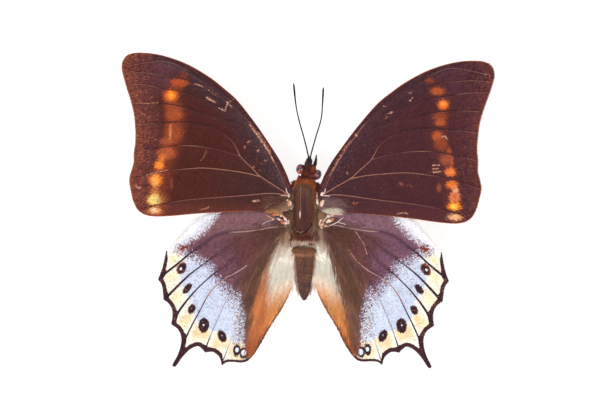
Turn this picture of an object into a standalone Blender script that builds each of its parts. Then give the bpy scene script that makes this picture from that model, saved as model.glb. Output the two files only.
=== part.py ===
"""A spread brush-footed butterfly with scalloped, tailed hind wings, life size, standing on its four walking legs.

Lengths are millimetres until a mesh is made, and MM turns them into metres. Each wing is drawn once, for the
right side: its first number runs outwards from the body's middle, its second towards the head. The left wing
is the same drawing mirrored. Up is +Z, the head points along +Y.
"""

import math

import bmesh
import bpy
import numpy as np
from mathutils import Matrix, Vector, geometry

MM = 0.001
GAP = 0.3  # kept between a piece and what it grows from

# Heights above the floor
BODY_Z = 7.0
HEAD_Z = 7.4
FORE_WING_Z = 9.3
HIND_WING_Z = 8.1

# Wings
MEMBRANE = 0.5  # thickness
WING_RISE = 0.04  # each millimetre outwards lifts the wing by this
ROOT_SWELL = 1.1  # added to the membrane's thickness at the hinge
ROOT_SWELL_REACH = 2.6
EDGE_STEP = 1.5
VEIN_STEP = 3.2
PANEL_STEP = 4.2
PANEL_CLEAR = 1.3  # free points of a panel stay this far from its edges
VEIN_TIP_FADE = 2.0
FORE_HINGE = (3.9, 2.4)
HIND_HINGE = (3.9, -3.9)

FORE_EDGE = [
    [
        (2.2, 5.2), (3.7, 6.2), (4.7, 8.5), (6.2, 11.5), (8.2, 14.6), (12.6, 20.8), (17.7, 27.1), (21.2, 30.2),
        (25.5, 33.4), (31.4, 36.6), (37.6, 38.6), (42.6, 39.2), (45.9, 38.9), (47.7, 37.5), (48.2, 35.3),
        (47.6, 32.6), (46.6, 29.4), (45.6, 26.4), (44.7, 22.8), (44.3, 19.0), (44.2, 16.0), (44.5, 13.2),
        (44.5, 10.6), (45.0, 8.6), (45.5, 6.2), (45.1, 3.6), (44.4, 0.8), (43.2, -1.5), (41.2, -2.8),
        (38.6, -3.2), (34.0, -2.9), (27.0, -2.1), (19.0, -1.45), (11.0, -1.0), (6.5, -0.9), (4.3, -0.3),
        (2.2, 0.8),
    ],
    [(2.2, 0.8), (2.2, 5.2)],
]
HIND_EDGE = [
    [
        (2.2, -2.0), (5.0, 0.3), (8.5, 1.5), (14.0, 1.8), (20.0, 0.7), (26.0, -1.8), (29.0, -3.3), (31.5, -5.9),
        (33.8, -8.5), (35.6, -10.6), (36.5, -12.4), (37.1, -15.0), (37.5, -16.9), (38.0, -18.7),
    ],
    [(38.0, -18.7), (36.9, -20.1), (36.5, -22.0), (36.3, -24.0)],
    [(36.3, -24.0), (34.9, -25.0), (34.0, -26.5), (33.8, -28.3), (34.1, -30.4)],
    [
        (34.1, -30.4), (32.3, -31.8), (31.5, -33.6), (31.5, -35.6), (32.2, -38.2), (33.5, -40.8), (33.4, -41.4),
        (32.7, -41.2), (31.2, -39.0), (29.2, -36.9), (27.2, -36.0), (26.0, -36.7), (25.2, -37.6),
    ],
    [(25.2, -37.6), (23.4, -37.4), (22.0, -38.2), (21.2, -39.3), (20.8, -40.9)],
    [
        (20.8, -40.9), (19.6, -40.1), (17.8, -40.0), (15.6, -40.1), (13.9, -39.5), (12.2, -37.6), (10.7, -34.8),
        (9.2, -31.8), (7.4, -28.9), (5.8, -26.3), (4.4, -23.6), (3.3, -21.0), (2.6, -18.5), (2.4, -15.5),
        (2.4, -11.5), (2.4, -8.5), (2.2, -5.6),
    ],
    [(2.2, -5.6), (2.2, -2.0)],
]

# Veins: the route, and half the ridge's width and its height at the root end
FORE_VEINS = {
    "subcosta": ([(4.2, 5.3), (6.9, 10.8), (11.2, 16.6), (16.2, 23.3), (20.8, 28.3), (25.1, 32.1)], 0.45, 0.22),
    "radius": (
        [
            (4.4, 3.7), (6.5, 8.7), (10.2, 15.3), (15.0, 22.2), (21.3, 27.6), (27.7, 32.7), (36.2, 37.0),
            (40.6, 36.8), (47.0, 35.5),
        ],
        0.5, 0.26,
    ),
    "radius_branch": ([(24.4, 30.4), (31.6, 32.5), (37.3, 33.5), (47.2, 33.5)], 0.36, 0.16),
    "media_1": ([(18.3, 25.0), (24.0, 26.4), (31.7, 29.3), (37.1, 30.0), (46.4, 30.9)], 0.36, 0.16),
    "media_2": ([(16.6, 20.7), (26.9, 23.9), (37.0, 26.1), (44.9, 26.0)], 0.36, 0.16),
    "media_3": (
        [
            (4.4, 3.4), (7.6, 5.5), (11.4, 7.8), (16.8, 12.9), (20.3, 17.9), (24.8, 20.4), (31.2, 21.5),
            (37.8, 21.1), (44.1, 20.4),
        ],
        0.5, 0.26,
    ),
    "cubitus_1": ([(16.8, 12.9), (21.7, 14.3), (30.1, 15.4), (34.7, 15.2), (44.0, 13.0)], 0.38, 0.18),
    "cubitus_2": ([(11.4, 7.8), (16.6, 8.9), (25.1, 9.7), (29.6, 9.5), (45.0, 6.5)], 0.38, 0.18),
    "anal": ([(4.4, 3.0), (9.0, 3.6), (18.1, 2.6), (29.8, 1.4), (42.3, -1.4)], 0.42, 0.2),
    "cell_end": ([(18.3, 25.0), (16.6, 20.7), (18.5, 16.1)], 0.3, 0.12),
}
HIND_VEINS = {
    "subcosta": ([(4.7, -3.6), (8.1, -2.3), (17.1, -0.6), (23.6, -1.9), (32.0, -7.8)], 0.4, 0.18),
    "radius": ([(4.7, -4.2), (8.8, -4.9), (16.4, -6.1), (23.6, -7.5), (29.5, -11.8), (37.0, -18.2)], 0.42, 0.2),
    "media_1": ([(12.8, -5.9), (16.0, -7.9), (21.7, -12.0), (31.0, -18.7), (35.6, -23.5)], 0.38, 0.18),
    "media_2": ([(15.5, -10.3), (19.5, -14.6), (27.0, -21.1), (31.4, -26.8), (33.5, -29.9)], 0.38, 0.18),
    "media_3": (
        [(4.7, -4.8), (8.6, -9.3), (16.8, -16.4), (21.5, -18.9), (25.0, -23.1), (28.3, -29.8), (33.0, -40.6)],
        0.42, 0.2,
    ),
    "cubitus_1": ([(12.1, -12.7), (15.9, -17.8), (21.3, -27.0), (25.1, -36.8)], 0.38, 0.18),
    "cubitus_2": ([(8.6, -9.3), (12.2, -15.8), (15.2, -23.5), (20.6, -39.8)], 0.38, 0.18),
    "anal": ([(4.7, -5.3), (6.4, -9.4), (8.8, -17.7), (15.3, -39.2)], 0.38, 0.18),
    "cell_end": ([(12.8, -5.9), (15.5, -10.3), (16.8, -16.4)], 0.3, 0.12),
}
VEIN_TIP_WIDTH = 0.6  # of the root's width
FOLD_DEPTH = 0.9  # the hind wing dips beside the belly
FOLD_REACH = (3.0, 8.0)

# How each wing was set: its turn towards the head in degrees, and its slide outwards and forwards
FORE_SETTING = {"right": (-0.35, (0.0, 0.0)), "left": (0.5, (0.25, 0.0))}
HIND_SETTING = {"right": (0.0, (-0.1, 0.4)), "left": (0.0, (0.2, -0.4))}

# Body sections from front to back: y, centre height, half width, height above the centre, depth below it
THORAX_SECTIONS = [
    (8.0, 7.1, 1.3, 1.2, 1.2), (7.5, 7.1, 2.1, 2.1, 2.0), (6.7, 7.0, 3.0, 3.1, 3.0), (5.4, 7.0, 3.6, 3.8, 3.8),
    (3.0, 7.0, 3.75, 4.1, 4.2), (0.0, 7.0, 3.75, 4.2, 4.3), (-3.0, 7.0, 3.7, 4.0, 4.2), (-5.2, 7.0, 3.5, 3.6, 3.8),
    (-6.4, 7.0, 3.3, 3.2, 3.4), (-7.0, 6.9, 3.15, 2.5, 3.1), (-8.1, 6.9, 2.85, 2.4, 2.7), (-9.0, 6.8, 2.3, 2.0, 2.2),
]
THORAX_SIDES = 24
THORAX_SQUARENESS = 2.3
SEGMENT_EDGES = (-9.3, -11.2, -13.2, -15.1, -17.0, -18.8, -20.5, -22.0, -23.2)
ABDOMEN_TIP_Y = -24.3
ABDOMEN_SIDES = 18
ABDOMEN_LIP = 0.12  # each ring of the belly stands this far over the next one

HEAD_PLACE = (0.75, 9.6)
HEAD_TURN = -13.6  # the head looks a little to its right
HEAD_HALF = (1.95, 1.8, 1.85)
EYE_HALF = (1.2, 1.2, 1.5)
EYE_PLACE = (2.0, 0.1, 0.15)

ANTENNA_ROUTES = {
    "left": [(0.45, 10.1, 8.2), (0.4, 11.6, 9.0), (0.4, 13.4, 9.5), (-0.6, 18.0, 9.9), (-2.0, 22.7, 10.0),
             (-2.9, 26.7, 9.9), (-3.6, 32.4, 9.6)],
    "right": [(1.3, 10.1, 8.2), (1.35, 11.6, 9.0), (1.45, 13.6, 9.5), (2.5, 18.8, 9.9), (3.7, 23.2, 10.0),
              (4.0, 27.2, 9.9), (4.15, 31.5, 9.6)],
}
ANTENNA_RADII = [(0.0, 0.3), (0.08, 0.25), (0.7, 0.25), (0.88, 0.36), (0.97, 0.34), (1.0, 0.16)]
PALP_ROUTE = [(1.05, 0.9, -1.0), (1.1, 2.0, -1.1), (1.05, 3.0, -0.6), (0.85, 4.2, 0.4)]
PALP_RADII = [(0.0, 0.4), (0.35, 0.52), (0.75, 0.42), (1.0, 0.1)]
COIL_CENTRE = (2.35, -2.35)  # in the head's own y and z
COIL_RADIUS = 1.25
COIL_PITCH = 0.68
COIL_TURNS = 1.2
COIL_START = 140.0
COIL_TUBE = 0.25

# Legs, right side: joints from hip to foot, and the tube's radius at shares of its length
FOOT_Z = 0.22
MID_LEG = [(1.5, 0.8, 3.6), (2.3, 1.1, 2.9), (8.2, 3.3, 6.0), (11.8, 5.2, 0.5), (12.6, 5.6, FOOT_Z), (16.2, 7.6, FOOT_Z)]
HIND_LEG = [
    (1.5, -3.8, 3.6), (2.3, -4.2, 2.9), (7.9, -8.0, 6.0), (11.2, -12.6, 0.5), (11.8, -13.4, FOOT_Z),
    (14.6, -17.2, FOOT_Z),
]
LEG_RADII = [(0.0, 0.6), (0.12, 0.5), (0.25, 0.5), (0.4, 0.34), (0.5, 0.34), (0.72, 0.27), (0.97, 0.27), (1.0, 0.14)]
FORE_LEG = [(1.2, 5.6, 4.5), (1.4, 6.3, 3.6), (1.95, 8.6, 3.9), (1.75, 8.2, 1.9), (1.6, 7.0, 1.4)]
FORE_LEG_RADII = [(0.0, 0.42), (0.4, 0.36), (0.6, 0.27), (0.95, 0.26), (1.0, 0.14)]
KNEE_ROUNDING = 0.9

# Colour, roughness
FINISHES = {
    "fore_wing": ((0.09, 0.024, 0.018), 0.6),
    "hind_wing": ((0.33, 0.25, 0.3), 0.6),
    "thorax": ((0.11, 0.055, 0.035), 0.8),
    "abdomen": ((0.16, 0.085, 0.065), 0.8),
    "head": ((0.13, 0.05, 0.035), 0.8),
    "eye": ((0.16, 0.06, 0.045), 0.2),
    "feeler": ((0.03, 0.015, 0.012), 0.5),
    "leg": ((0.12, 0.055, 0.035), 0.6),
}


def clear_scene():
    for obj in list(bpy.data.objects):
        bpy.data.objects.remove(obj)


def finish_material(name):
    material = bpy.data.materials.get(name)
    if material is None:
        colour, roughness = FINISHES[name]
        material = bpy.data.materials.new(name)
        material.use_nodes = True
        shader = material.node_tree.nodes["Principled BSDF"]
        shader.inputs["Base Color"].default_value = (*colour, 1.0)
        shader.inputs["Roughness"].default_value = roughness
        shader.inputs["Metallic"].default_value = 0.0
    return material


def object_from(bm, name, finish=None):
    """A named object holding the bmesh, scaled from millimetres to metres."""
    bm.normal_update()
    bmesh.ops.recalc_face_normals(bm, faces=bm.faces)
    bmesh.ops.scale(bm, vec=(MM, MM, MM), verts=bm.verts)
    mesh = bpy.data.meshes.new(name)
    bm.to_mesh(mesh)
    bm.free()
    obj = bpy.data.objects.new(name, mesh)
    bpy.context.scene.collection.objects.link(obj)
    if finish:
        mesh.materials.append(finish_material(finish))
        mesh.shade_smooth()
    return obj


def smooth_run(keys, step):
    """Points about one step apart on a Catmull-Rom curve through the keys, first and last key included."""
    keys = np.array(keys, float)
    if len(keys) == 2:
        count = max(1, round(float(np.linalg.norm(keys[1] - keys[0])) / step))
        return [keys[0] + (keys[1] - keys[0]) * i / count for i in range(count + 1)]
    ends = [2 * keys[0] - keys[1], *keys, 2 * keys[-1] - keys[-2]]
    fine = []
    samples = 12
    for a, b, c, d in zip(ends, ends[1:], ends[2:], ends[3:]):
        for t in np.arange(samples) / samples:
            fine.append(0.5 * (2 * b + (c - a) * t + (2 * a - 5 * b + 4 * c - d) * t**2
                               + (3 * b - a - 3 * c + d) * t**3))
    fine = np.array([*fine, keys[-1]])
    along = np.concatenate([[0], np.cumsum(np.linalg.norm(np.diff(fine, axis=0), axis=1))])
    count = max(2, round(along[-1] / step))
    at = np.linspace(0, along[-1], count + 1)
    return [np.array([np.interp(s, along, fine[:, k]) for k in range(fine.shape[1])]) for s in at]


def nearest_on(line, points):
    """For each point, its distance from the polyline and how far along it the nearest place lies."""
    line = np.array(line)
    starts, runs = line[:-1], np.diff(line, axis=0)
    lengths = np.linalg.norm(runs, axis=1)
    before = np.concatenate([[0], np.cumsum(lengths)[:-1]])
    gap = points[:, None, :] - starts[None]
    share = np.clip((gap * runs).sum(2) / (lengths**2), 0, 1)
    distance = np.linalg.norm(gap - share[:, :, None] * runs, axis=2)
    best = distance.argmin(1)
    rows = np.arange(len(points))
    return distance[rows, best], before[best] + share[rows, best] * lengths[best]


def inside(loop, point):
    """Whether a point lies in a closed loop of points, by counting the sides that it looks across."""
    x, y = point
    crossings = 0
    for (x0, y0), (x1, y1) in zip(loop, [*loop[1:], loop[0]]):
        if (y0 > y) != (y1 > y) and x < x0 + (y - y0) * (x1 - x0) / (y1 - y0):
            crossings += 1
    return crossings % 2 == 1


def beside(line, widths):
    """The polyline moved sideways by a width at each of its points."""
    line = np.array(line)
    run = np.gradient(line, axis=0)
    run /= np.linalg.norm(run, axis=1)[:, None]
    return line + np.stack([-run[:, 1], run[:, 0]], axis=1) * np.array(widths)[:, None]


class Wing:
    """One wing's drawing: its outline, its vein lines and the height of both of its faces."""

    def __init__(self, edge, veins, hinge, height):
        self.hinge = np.array(hinge)
        self.height = height
        self.outline = []
        for keys in edge:
            self.outline += smooth_run(keys, EDGE_STEP)[:-1]
        self.veins = []
        for route, half_width, ridge in veins.values():
            line = np.array(smooth_run(route, VEIN_STEP))
            shares = np.linspace(1, VEIN_TIP_WIDTH, len(line))
            self.veins.append((line, half_width * shares, ridge))

    def blank(self):
        """The flat wing as triangles, with an edge along the crest and the feet of every vein."""
        points, edges = [], []

        def add(line, closed=False):
            first = len(points)
            points.extend(Vector(p) for p in line)
            edges.extend((first + i, first + i + 1) for i in range(len(line) - 1))
            if closed:
                edges.append((len(points) - 1, first))

        add(self.outline, closed=True)
        ring = np.array([*self.outline, self.outline[0]])
        for line, widths, _ in self.veins:
            add(line)
            for side in (1, -1):
                foot = beside(line, widths * side)
                keep = [p for p in foot if inside(self.outline, p) and nearest_on(ring, p[None])[0][0] > 0.2]
                if len(keep) > 1:
                    add(keep)
        lines = [ring, *(line for line, _, _ in self.veins)]
        low, high = ring.min(0), ring.max(0)
        row_step = PANEL_STEP * math.sqrt(0.75)
        for row, y in enumerate(np.arange(low[1], high[1], row_step)):
            for x in np.arange(low[0] + (row % 2) * PANEL_STEP / 2, high[0], PANEL_STEP):
                spot = np.array([[x, y]])
                if inside(self.outline, (x, y)) and min(nearest_on(l, spot)[0][0] for l in lines) > PANEL_CLEAR:
                    points.append(Vector((x, y)))
        triangles_inside_loops = 1
        found = geometry.delaunay_2d_cdt(points, edges, [], triangles_inside_loops, 1e-3)
        return found[0], found[2]

    def ridge(self, points):
        """How far the veins stand over the membrane."""
        tallest = np.zeros(len(points))
        for line, widths, height in self.veins:
            distance, along = nearest_on(line, points)
            length = np.linalg.norm(np.diff(line, axis=0), axis=1).sum()
            width = np.interp(along, np.linspace(0, length, len(line)), widths)
            fade = np.clip((length - along) / VEIN_TIP_FADE, 0, 1)
            tallest = np.maximum(tallest, height * fade * np.clip(1 - distance / width, 0, 1))
        return tallest

    def middle(self, points):
        """The height of the membrane's middle."""
        x, y = points.T
        lift = WING_RISE * (x - self.hinge[0])
        bow = 0.35 * np.sin(np.clip(x, 0, 48) / 48 * math.pi)
        wave = 0.22 * np.sin(y / 4.5) * (x / 45) ** 2
        return self.height + lift + bow + wave

    def thickness(self, points):
        away = np.linalg.norm(points - self.hinge, axis=1)
        return MEMBRANE + ROOT_SWELL * np.exp(-((away / ROOT_SWELL_REACH) ** 2))


class HindWing(Wing):
    """A hind wing also dips along its inner edge, which makes the gutter that the belly lies in."""

    def middle(self, points):
        near, far = FOLD_REACH
        inwards = np.clip((far - points[:, 0]) / (far - near), 0, 1)
        back = np.clip((-6.0 - points[:, 1]) / 6.0, 0, 1)
        return super().middle(points) - FOLD_DEPTH * inwards**2 * back


def set_out(points, side, hinge, turn, slide):
    """Points of the drawing where the wing was set, mirrored for the left side."""
    angle = math.radians(turn)
    away = points - np.array(hinge)
    turned = np.stack([away[:, 0] * math.cos(angle) - away[:, 1] * math.sin(angle),
                       away[:, 0] * math.sin(angle) + away[:, 1] * math.cos(angle)], axis=1)
    placed = turned + np.array(hinge) + np.array(slide)
    if side == "left":
        placed[:, 0] *= -1
    return placed


def make_wing(wing, name, side, finish, setting):
    flat, triangles = wing.blank()
    points = np.array([tuple(p) for p in flat])
    placed = set_out(points, side, wing.hinge, *setting)
    middle, half = wing.middle(points), wing.thickness(points) / 2 + wing.ridge(points)
    bm = bmesh.new()
    verts = [bm.verts.new((x, y, z)) for (x, y), z in zip(placed, middle + half)]
    for triangle in triangles:
        bm.faces.new([verts[i] for i in triangle])
    bmesh.ops.recalc_face_normals(bm, faces=bm.faces)
    if sum(f.normal.z for f in bm.faces) < 0:
        bmesh.ops.reverse_faces(bm, faces=bm.faces)
    under = bmesh.ops.extrude_face_region(bm, geom=bm.faces[:], use_keep_orig=True)
    depth = {tuple(v.co): 2 * h for v, h in zip(verts, half)}
    for v in under["geom"]:
        if isinstance(v, bmesh.types.BMVert):
            v.co.z -= depth[tuple(v.co)]
    return object_from(bm, name, finish)


def loft(name, rings, finish=None):
    """A closed body skinned over rings of equally many points."""
    bm = bmesh.new()
    loops = []
    for ring in rings:
        verts = [bm.verts.new(p) for p in ring]
        loops.append([bm.edges.new((a, b)) for a, b in zip(verts, [*verts[1:], verts[0]])])
    for first, second in zip(loops, loops[1:]):
        bmesh.ops.bridge_loops(bm, edges=first + second)
    for end in (loops[0], loops[-1]):
        bmesh.ops.contextual_create(bm, geom=end)
    return object_from(bm, name, finish)


def section_ring(y, centre_z, half_width, up, down, sides, squareness=2.0):
    """A ring across the body: an ellipse, or a rounder box where squareness is over 2."""
    ring = []
    for i in range(sides):
        angle = 2 * math.pi * i / sides
        c, s = math.cos(angle), math.sin(angle)
        power = 2 / squareness
        x = half_width * math.copysign(abs(c) ** power, c)
        z = (up if s > 0 else down) * math.copysign(abs(s) ** power, s)
        ring.append((x, y, centre_z + z))
    return ring


def thorax(name, grow=0.0, finish=None):
    rings = []
    last = len(THORAX_SECTIONS) - 1
    for i, (y, z, width, up, down) in enumerate(THORAX_SECTIONS):
        end = grow if i == 0 else -grow if i == last else 0
        rings.append(section_ring(y + end, z, width + grow, up + grow, down + grow, THORAX_SIDES, THORAX_SQUARENESS))
    return loft(name, rings, finish)


def belly_size(y):
    """Half width and height centre of the abdomen at a place along it."""
    along = [-24.3, -23.6, -22.2, -20.5, -18.0, -15.0, -12.0, -10.3, -9.3]
    width = [0.25, 0.7, 1.25, 1.65, 2.15, 2.5, 2.75, 2.6, 2.25]
    centre = [5.5, 5.6, 5.8, 6.0, 6.3, 6.5, 6.7, 6.8, 6.8]
    return np.interp(y, along, width), np.interp(y, along, centre)


def abdomen(name, grow=0.0, finish=None):
    rings = []
    edges = [*SEGMENT_EDGES, ABDOMEN_TIP_Y]
    for i, (front, back) in enumerate(zip(edges, edges[1:])):
        for share, lip in ((0.12, 0.0), (0.92, ABDOMEN_LIP)) if i else ((0.0, 0.0), (0.92, ABDOMEN_LIP)):
            y = front + (back - front) * share
            width, centre = belly_size(y)
            first = i == 0 and share == 0.0
            swell = grow + lip * min(1.0, width)
            rings.append(section_ring(y + (grow if first else 0), centre, width + swell, width * 0.86 + swell,
                                      width * 0.88 + swell, ABDOMEN_SIDES))
    width, centre = belly_size(ABDOMEN_TIP_Y)
    rings.append(section_ring(ABDOMEN_TIP_Y - grow, centre, width, width, width, ABDOMEN_SIDES))
    return loft(name, rings, finish)


def in_head(point):
    """A point of the head's own frame, placed on the body."""
    turned = Matrix.Rotation(math.radians(HEAD_TURN), 3, "Z") @ Vector(point)
    return turned + Vector((*HEAD_PLACE, HEAD_Z))


def ellipsoid(name, centre, half, sides, rings, finish=None):
    """An egg shape of the head's own frame, its poles along the head."""
    bm = bmesh.new()
    bmesh.ops.create_uvsphere(bm, u_segments=sides, v_segments=rings, radius=1.0)
    for v in bm.verts:
        along = Vector((v.co.x * half[0], v.co.z * half[1], v.co.y * half[2]))
        v.co = in_head(along + Vector(centre))
    return object_from(bm, name, finish)


def rounded_path(corners, reach, step):
    """A path with each corner rounded over a reach, and long straight runs divided."""
    corners = [Vector(c) for c in corners]
    path = [corners[0]]
    for before, corner, after in zip(corners, corners[1:], corners[2:]):
        into = min(reach, (corner - before).length * 0.45)
        out = min(reach, (after - corner).length * 0.45)
        start = corner + (before - corner).normalized() * into
        end = corner + (after - corner).normalized() * out
        for t in (0.0, 0.33, 0.67, 1.0):
            path.append(start.lerp(corner, t).lerp(corner.lerp(end, t), t))
    path.append(corners[-1])
    divided = [path[0]]
    for a, b in zip(path, path[1:]):
        count = max(1, round((b - a).length / step))
        divided += [a.lerp(b, (i + 1) / count) for i in range(count)]
    return divided


def tube(name, path, radii, sides, finish, floor=None):
    """A tube along a path, its radius given at shares of the length. It is flattened where it meets the floor."""
    path = [Vector(p) for p in path]
    lengths = [0.0]
    for a, b in zip(path, path[1:]):
        lengths.append(lengths[-1] + (b - a).length)
    shares, sizes = zip(*radii)
    rings = []
    up = Vector((0, 0, 1))
    for i, p in enumerate(path):
        run = (path[min(i + 1, len(path) - 1)] - path[max(i - 1, 0)]).normalized()
        across = run.cross(up)
        across = (across if across.length > 0.05 else run.cross(Vector((0, 1, 0)))).normalized()
        above = across.cross(run)
        radius = float(np.interp(lengths[i] / lengths[-1], shares, sizes))
        ring = []
        for k in range(sides):
            angle = 2 * math.pi * (k + 0.5) / sides
            corner = p + (across * math.cos(angle) + above * math.sin(angle)) * radius
            if floor is not None:
                corner.z = max(corner.z, floor)
            ring.append(corner)
        rings.append(ring)
    return loft(name, rings, finish)


def mirrored(points, side):
    return [(-x, y, z) for x, y, z in points] if side == "left" else points


def cut_clear(obj, *tools):
    """Cuts the object by each tool, and keeps its largest closed surface."""
    for tool in tools:
        modifier = obj.modifiers.new("clear_" + tool.name, "BOOLEAN")
        modifier.operation = "DIFFERENCE"
        modifier.object = tool
    graph = bpy.context.evaluated_depsgraph_get()
    mesh = bpy.data.meshes.new_from_object(obj.evaluated_get(graph))
    obj.modifiers.clear()
    obj.data = mesh
    bm = bmesh.new()
    bm.from_mesh(mesh)
    bm.verts.ensure_lookup_table()
    unseen, shells = set(bm.verts), []
    while unseen:
        shell, front = set(), [unseen.pop()]
        while front:
            v = front.pop()
            shell.add(v)
            for edge in v.link_edges:
                other = edge.other_vert(v)
                if other in unseen:
                    unseen.discard(other)
                    front.append(other)
        shells.append(shell)
    largest = max(shells, key=len)
    bmesh.ops.delete(bm, geom=[v for v in bm.verts if v not in largest], context="VERTS")
    bm.to_mesh(mesh)
    bm.free()


def make_wings(tools):
    fore = Wing(FORE_EDGE, FORE_VEINS, FORE_HINGE, FORE_WING_Z)
    hind = HindWing(HIND_EDGE, HIND_VEINS, HIND_HINGE, HIND_WING_Z)
    for side in ("left", "right"):
        fore_wing = make_wing(fore, "forewing_" + side, side, "fore_wing", FORE_SETTING[side])
        hind_wing = make_wing(hind, "hindwing_" + side, side, "hind_wing", HIND_SETTING[side])
        cut_clear(fore_wing, tools["thorax"])
        cut_clear(hind_wing, tools["thorax"], tools["abdomen"])


def make_head(tools):
    head = ellipsoid("head", (0, 0, 0), HEAD_HALF, 20, 12, "head")
    eye_tools = []
    for side, sign in (("left", -1), ("right", 1)):
        x, y, z = EYE_PLACE
        ellipsoid("eye_" + side, (sign * x, y, z), EYE_HALF, 16, 10, "eye")
        grown = [h + GAP for h in EYE_HALF]
        eye_tools.append(ellipsoid("eye_room_" + side, (sign * x, y, z), grown, 16, 10))
        palp_path = smooth_run([(sign * px, py, pz) for px, py, pz in PALP_ROUTE], 0.5)
        palp = tube("palp_" + side, [in_head(p) for p in palp_path], PALP_RADII, 8, "head")
        antenna = tube("antenna_" + side, smooth_run(ANTENNA_ROUTES[side], 1.5), ANTENNA_RADII, 6, "feeler")
        cut_clear(palp, tools["head"])
        cut_clear(antenna, tools["head"])
    cut_clear(head, tools["thorax"], *eye_tools)
    for tool in eye_tools:
        bpy.data.objects.remove(tool)


def make_proboscis(tools):
    """The tongue, coiled as a watch spring under the face."""
    route = [(0, 0.9, -0.9)]
    steps = 22
    for i in range(steps + 1):
        turns = COIL_TURNS * i / steps
        angle = math.radians(COIL_START - 360 * turns)
        radius = COIL_RADIUS - COIL_PITCH * turns
        route.append((0, COIL_CENTRE[0] + radius * math.cos(angle), COIL_CENTRE[1] + radius * math.sin(angle)))
    rings = []
    path = [in_head(p) for p in route]
    across = Matrix.Rotation(math.radians(HEAD_TURN), 3, "Z") @ Vector((1, 0, 0))
    for i, p in enumerate(path):
        run = (path[min(i + 1, len(path) - 1)] - path[max(i - 1, 0)]).normalized()
        out = run.cross(across)
        rings.append([
            p + (across * math.cos(a) + out * math.sin(a)) * COIL_TUBE
            for a in (2 * math.pi * k / 6 for k in range(6))
        ])
    proboscis = loft("proboscis", rings, "feeler")
    cut_clear(proboscis, tools["head"])


def make_legs(tools):
    for side in ("left", "right"):
        for name, joints in (("midleg_", MID_LEG), ("hindleg_", HIND_LEG)):
            path = rounded_path(mirrored(joints, side), KNEE_ROUNDING, 2.6)
            leg = tube(name + side, path, LEG_RADII, 8, "leg", floor=0.0)
            cut_clear(leg, tools["thorax"])
        path = rounded_path(mirrored(FORE_LEG, side), KNEE_ROUNDING, 1.5)
        leg = tube("foreleg_" + side, path, FORE_LEG_RADII, 6, "leg")
        cut_clear(leg, tools["thorax"])


def stand_on_origin():
    """Moves everything so that the middle of its footprint, on the floor, is the origin."""
    bpy.context.view_layer.update()
    corners = np.array([o.matrix_world @ Vector(c) for o in bpy.data.objects for c in o.bound_box])
    low, high = corners.min(0), corners.max(0)
    specimen = bpy.data.objects.new("specimen", None)
    bpy.context.scene.collection.objects.link(specimen)
    for obj in bpy.data.objects:
        if obj is not specimen:
            obj.parent = specimen
    specimen.location = (-(low[0] + high[0]) / 2, -(low[1] + high[1]) / 2, -low[2])


def main():
    clear_scene()
    thorax("thorax", finish="thorax")
    abdomen("abdomen", finish="abdomen")
    tools = {
        "thorax": thorax("thorax_room", grow=GAP),
        "abdomen": abdomen("abdomen_room", grow=GAP),
        "head": ellipsoid("head_room", (0, 0, 0), [h + GAP for h in HEAD_HALF], 20, 12),
    }
    make_head(tools)
    make_proboscis(tools)
    make_wings(tools)
    make_legs(tools)
    for tool in tools.values():
        bpy.data.objects.remove(tool)
    stand_on_origin()


main()
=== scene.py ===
# %% [markdown]
# # A spread butterfly with tailed hind wings
#
# The specimen is a set butterfly: its four wings are held flat and open, and it is seen from straight above.
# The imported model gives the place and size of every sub-part. This script keeps those places and makes the
# surfaces: wings one tenth of a millimetre thick with their scales, veins and markings, a hairy body, glossy
# eyes, feelers and jointed legs.

import math

import bmesh
import bpy
import numpy as np
from mathutils import Matrix, Vector


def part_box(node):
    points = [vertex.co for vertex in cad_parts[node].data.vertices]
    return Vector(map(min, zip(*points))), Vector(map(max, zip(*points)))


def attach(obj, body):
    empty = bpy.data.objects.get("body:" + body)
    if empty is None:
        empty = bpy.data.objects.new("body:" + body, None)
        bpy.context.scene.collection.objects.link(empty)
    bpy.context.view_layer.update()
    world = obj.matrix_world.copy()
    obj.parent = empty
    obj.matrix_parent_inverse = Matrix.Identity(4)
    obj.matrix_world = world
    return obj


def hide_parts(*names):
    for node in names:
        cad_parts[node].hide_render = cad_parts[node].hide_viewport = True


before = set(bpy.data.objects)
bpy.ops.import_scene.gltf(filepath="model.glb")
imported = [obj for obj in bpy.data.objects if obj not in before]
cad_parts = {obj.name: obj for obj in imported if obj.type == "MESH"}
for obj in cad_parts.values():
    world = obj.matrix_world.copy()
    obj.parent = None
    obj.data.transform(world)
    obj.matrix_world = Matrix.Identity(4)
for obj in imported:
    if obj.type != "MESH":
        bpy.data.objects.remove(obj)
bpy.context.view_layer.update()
print("nodes:", ", ".join(sorted(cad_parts)))

# %% [markdown]
# ## One drawing, in millimetres
#
# A butterfly is easier to draw in millimetres about the middle of its body: x runs outwards, y towards the
# head and z up from the floor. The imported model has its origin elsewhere, so the middle of the thorax tells
# where the drawing goes. Each finished mesh is moved there once, and its object stays at the origin.

# %% The drawing's place
MM = 0.001
THORAX_MIDDLE_Y = -0.5

thorax_low, thorax_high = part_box("thorax")
body_middle = (thorax_low + thorax_high) / 2
drawing_origin = Vector((body_middle.x, body_middle.y - THORAX_MIDDLE_Y * MM, 0.0))
TO_FRAME = Matrix.Translation(drawing_origin) @ Matrix.Scale(MM, 4)
print("drawing origin, mm:", [round(c / MM, 3) for c in drawing_origin])


# %% Finishing a piece
def put_in_scene(name, data):
    thing = bpy.data.objects.new(name, data)
    bpy.context.scene.collection.objects.link(thing)
    return thing


def settle(name, mesh, material, stands_for=()):
    """Moves a mesh drawn in millimetres to its place, and makes it a piece that rides with the body."""
    mesh.transform(TO_FRAME)
    mesh.materials.append(material)
    mesh.shade_smooth()
    piece = put_in_scene(name, mesh)
    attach(piece, "root")
    if stands_for:
        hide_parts(*stands_for)
    mesh.calc_loop_triangles()
    print(f"{name}: {len(mesh.loop_triangles)} triangles")


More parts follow.
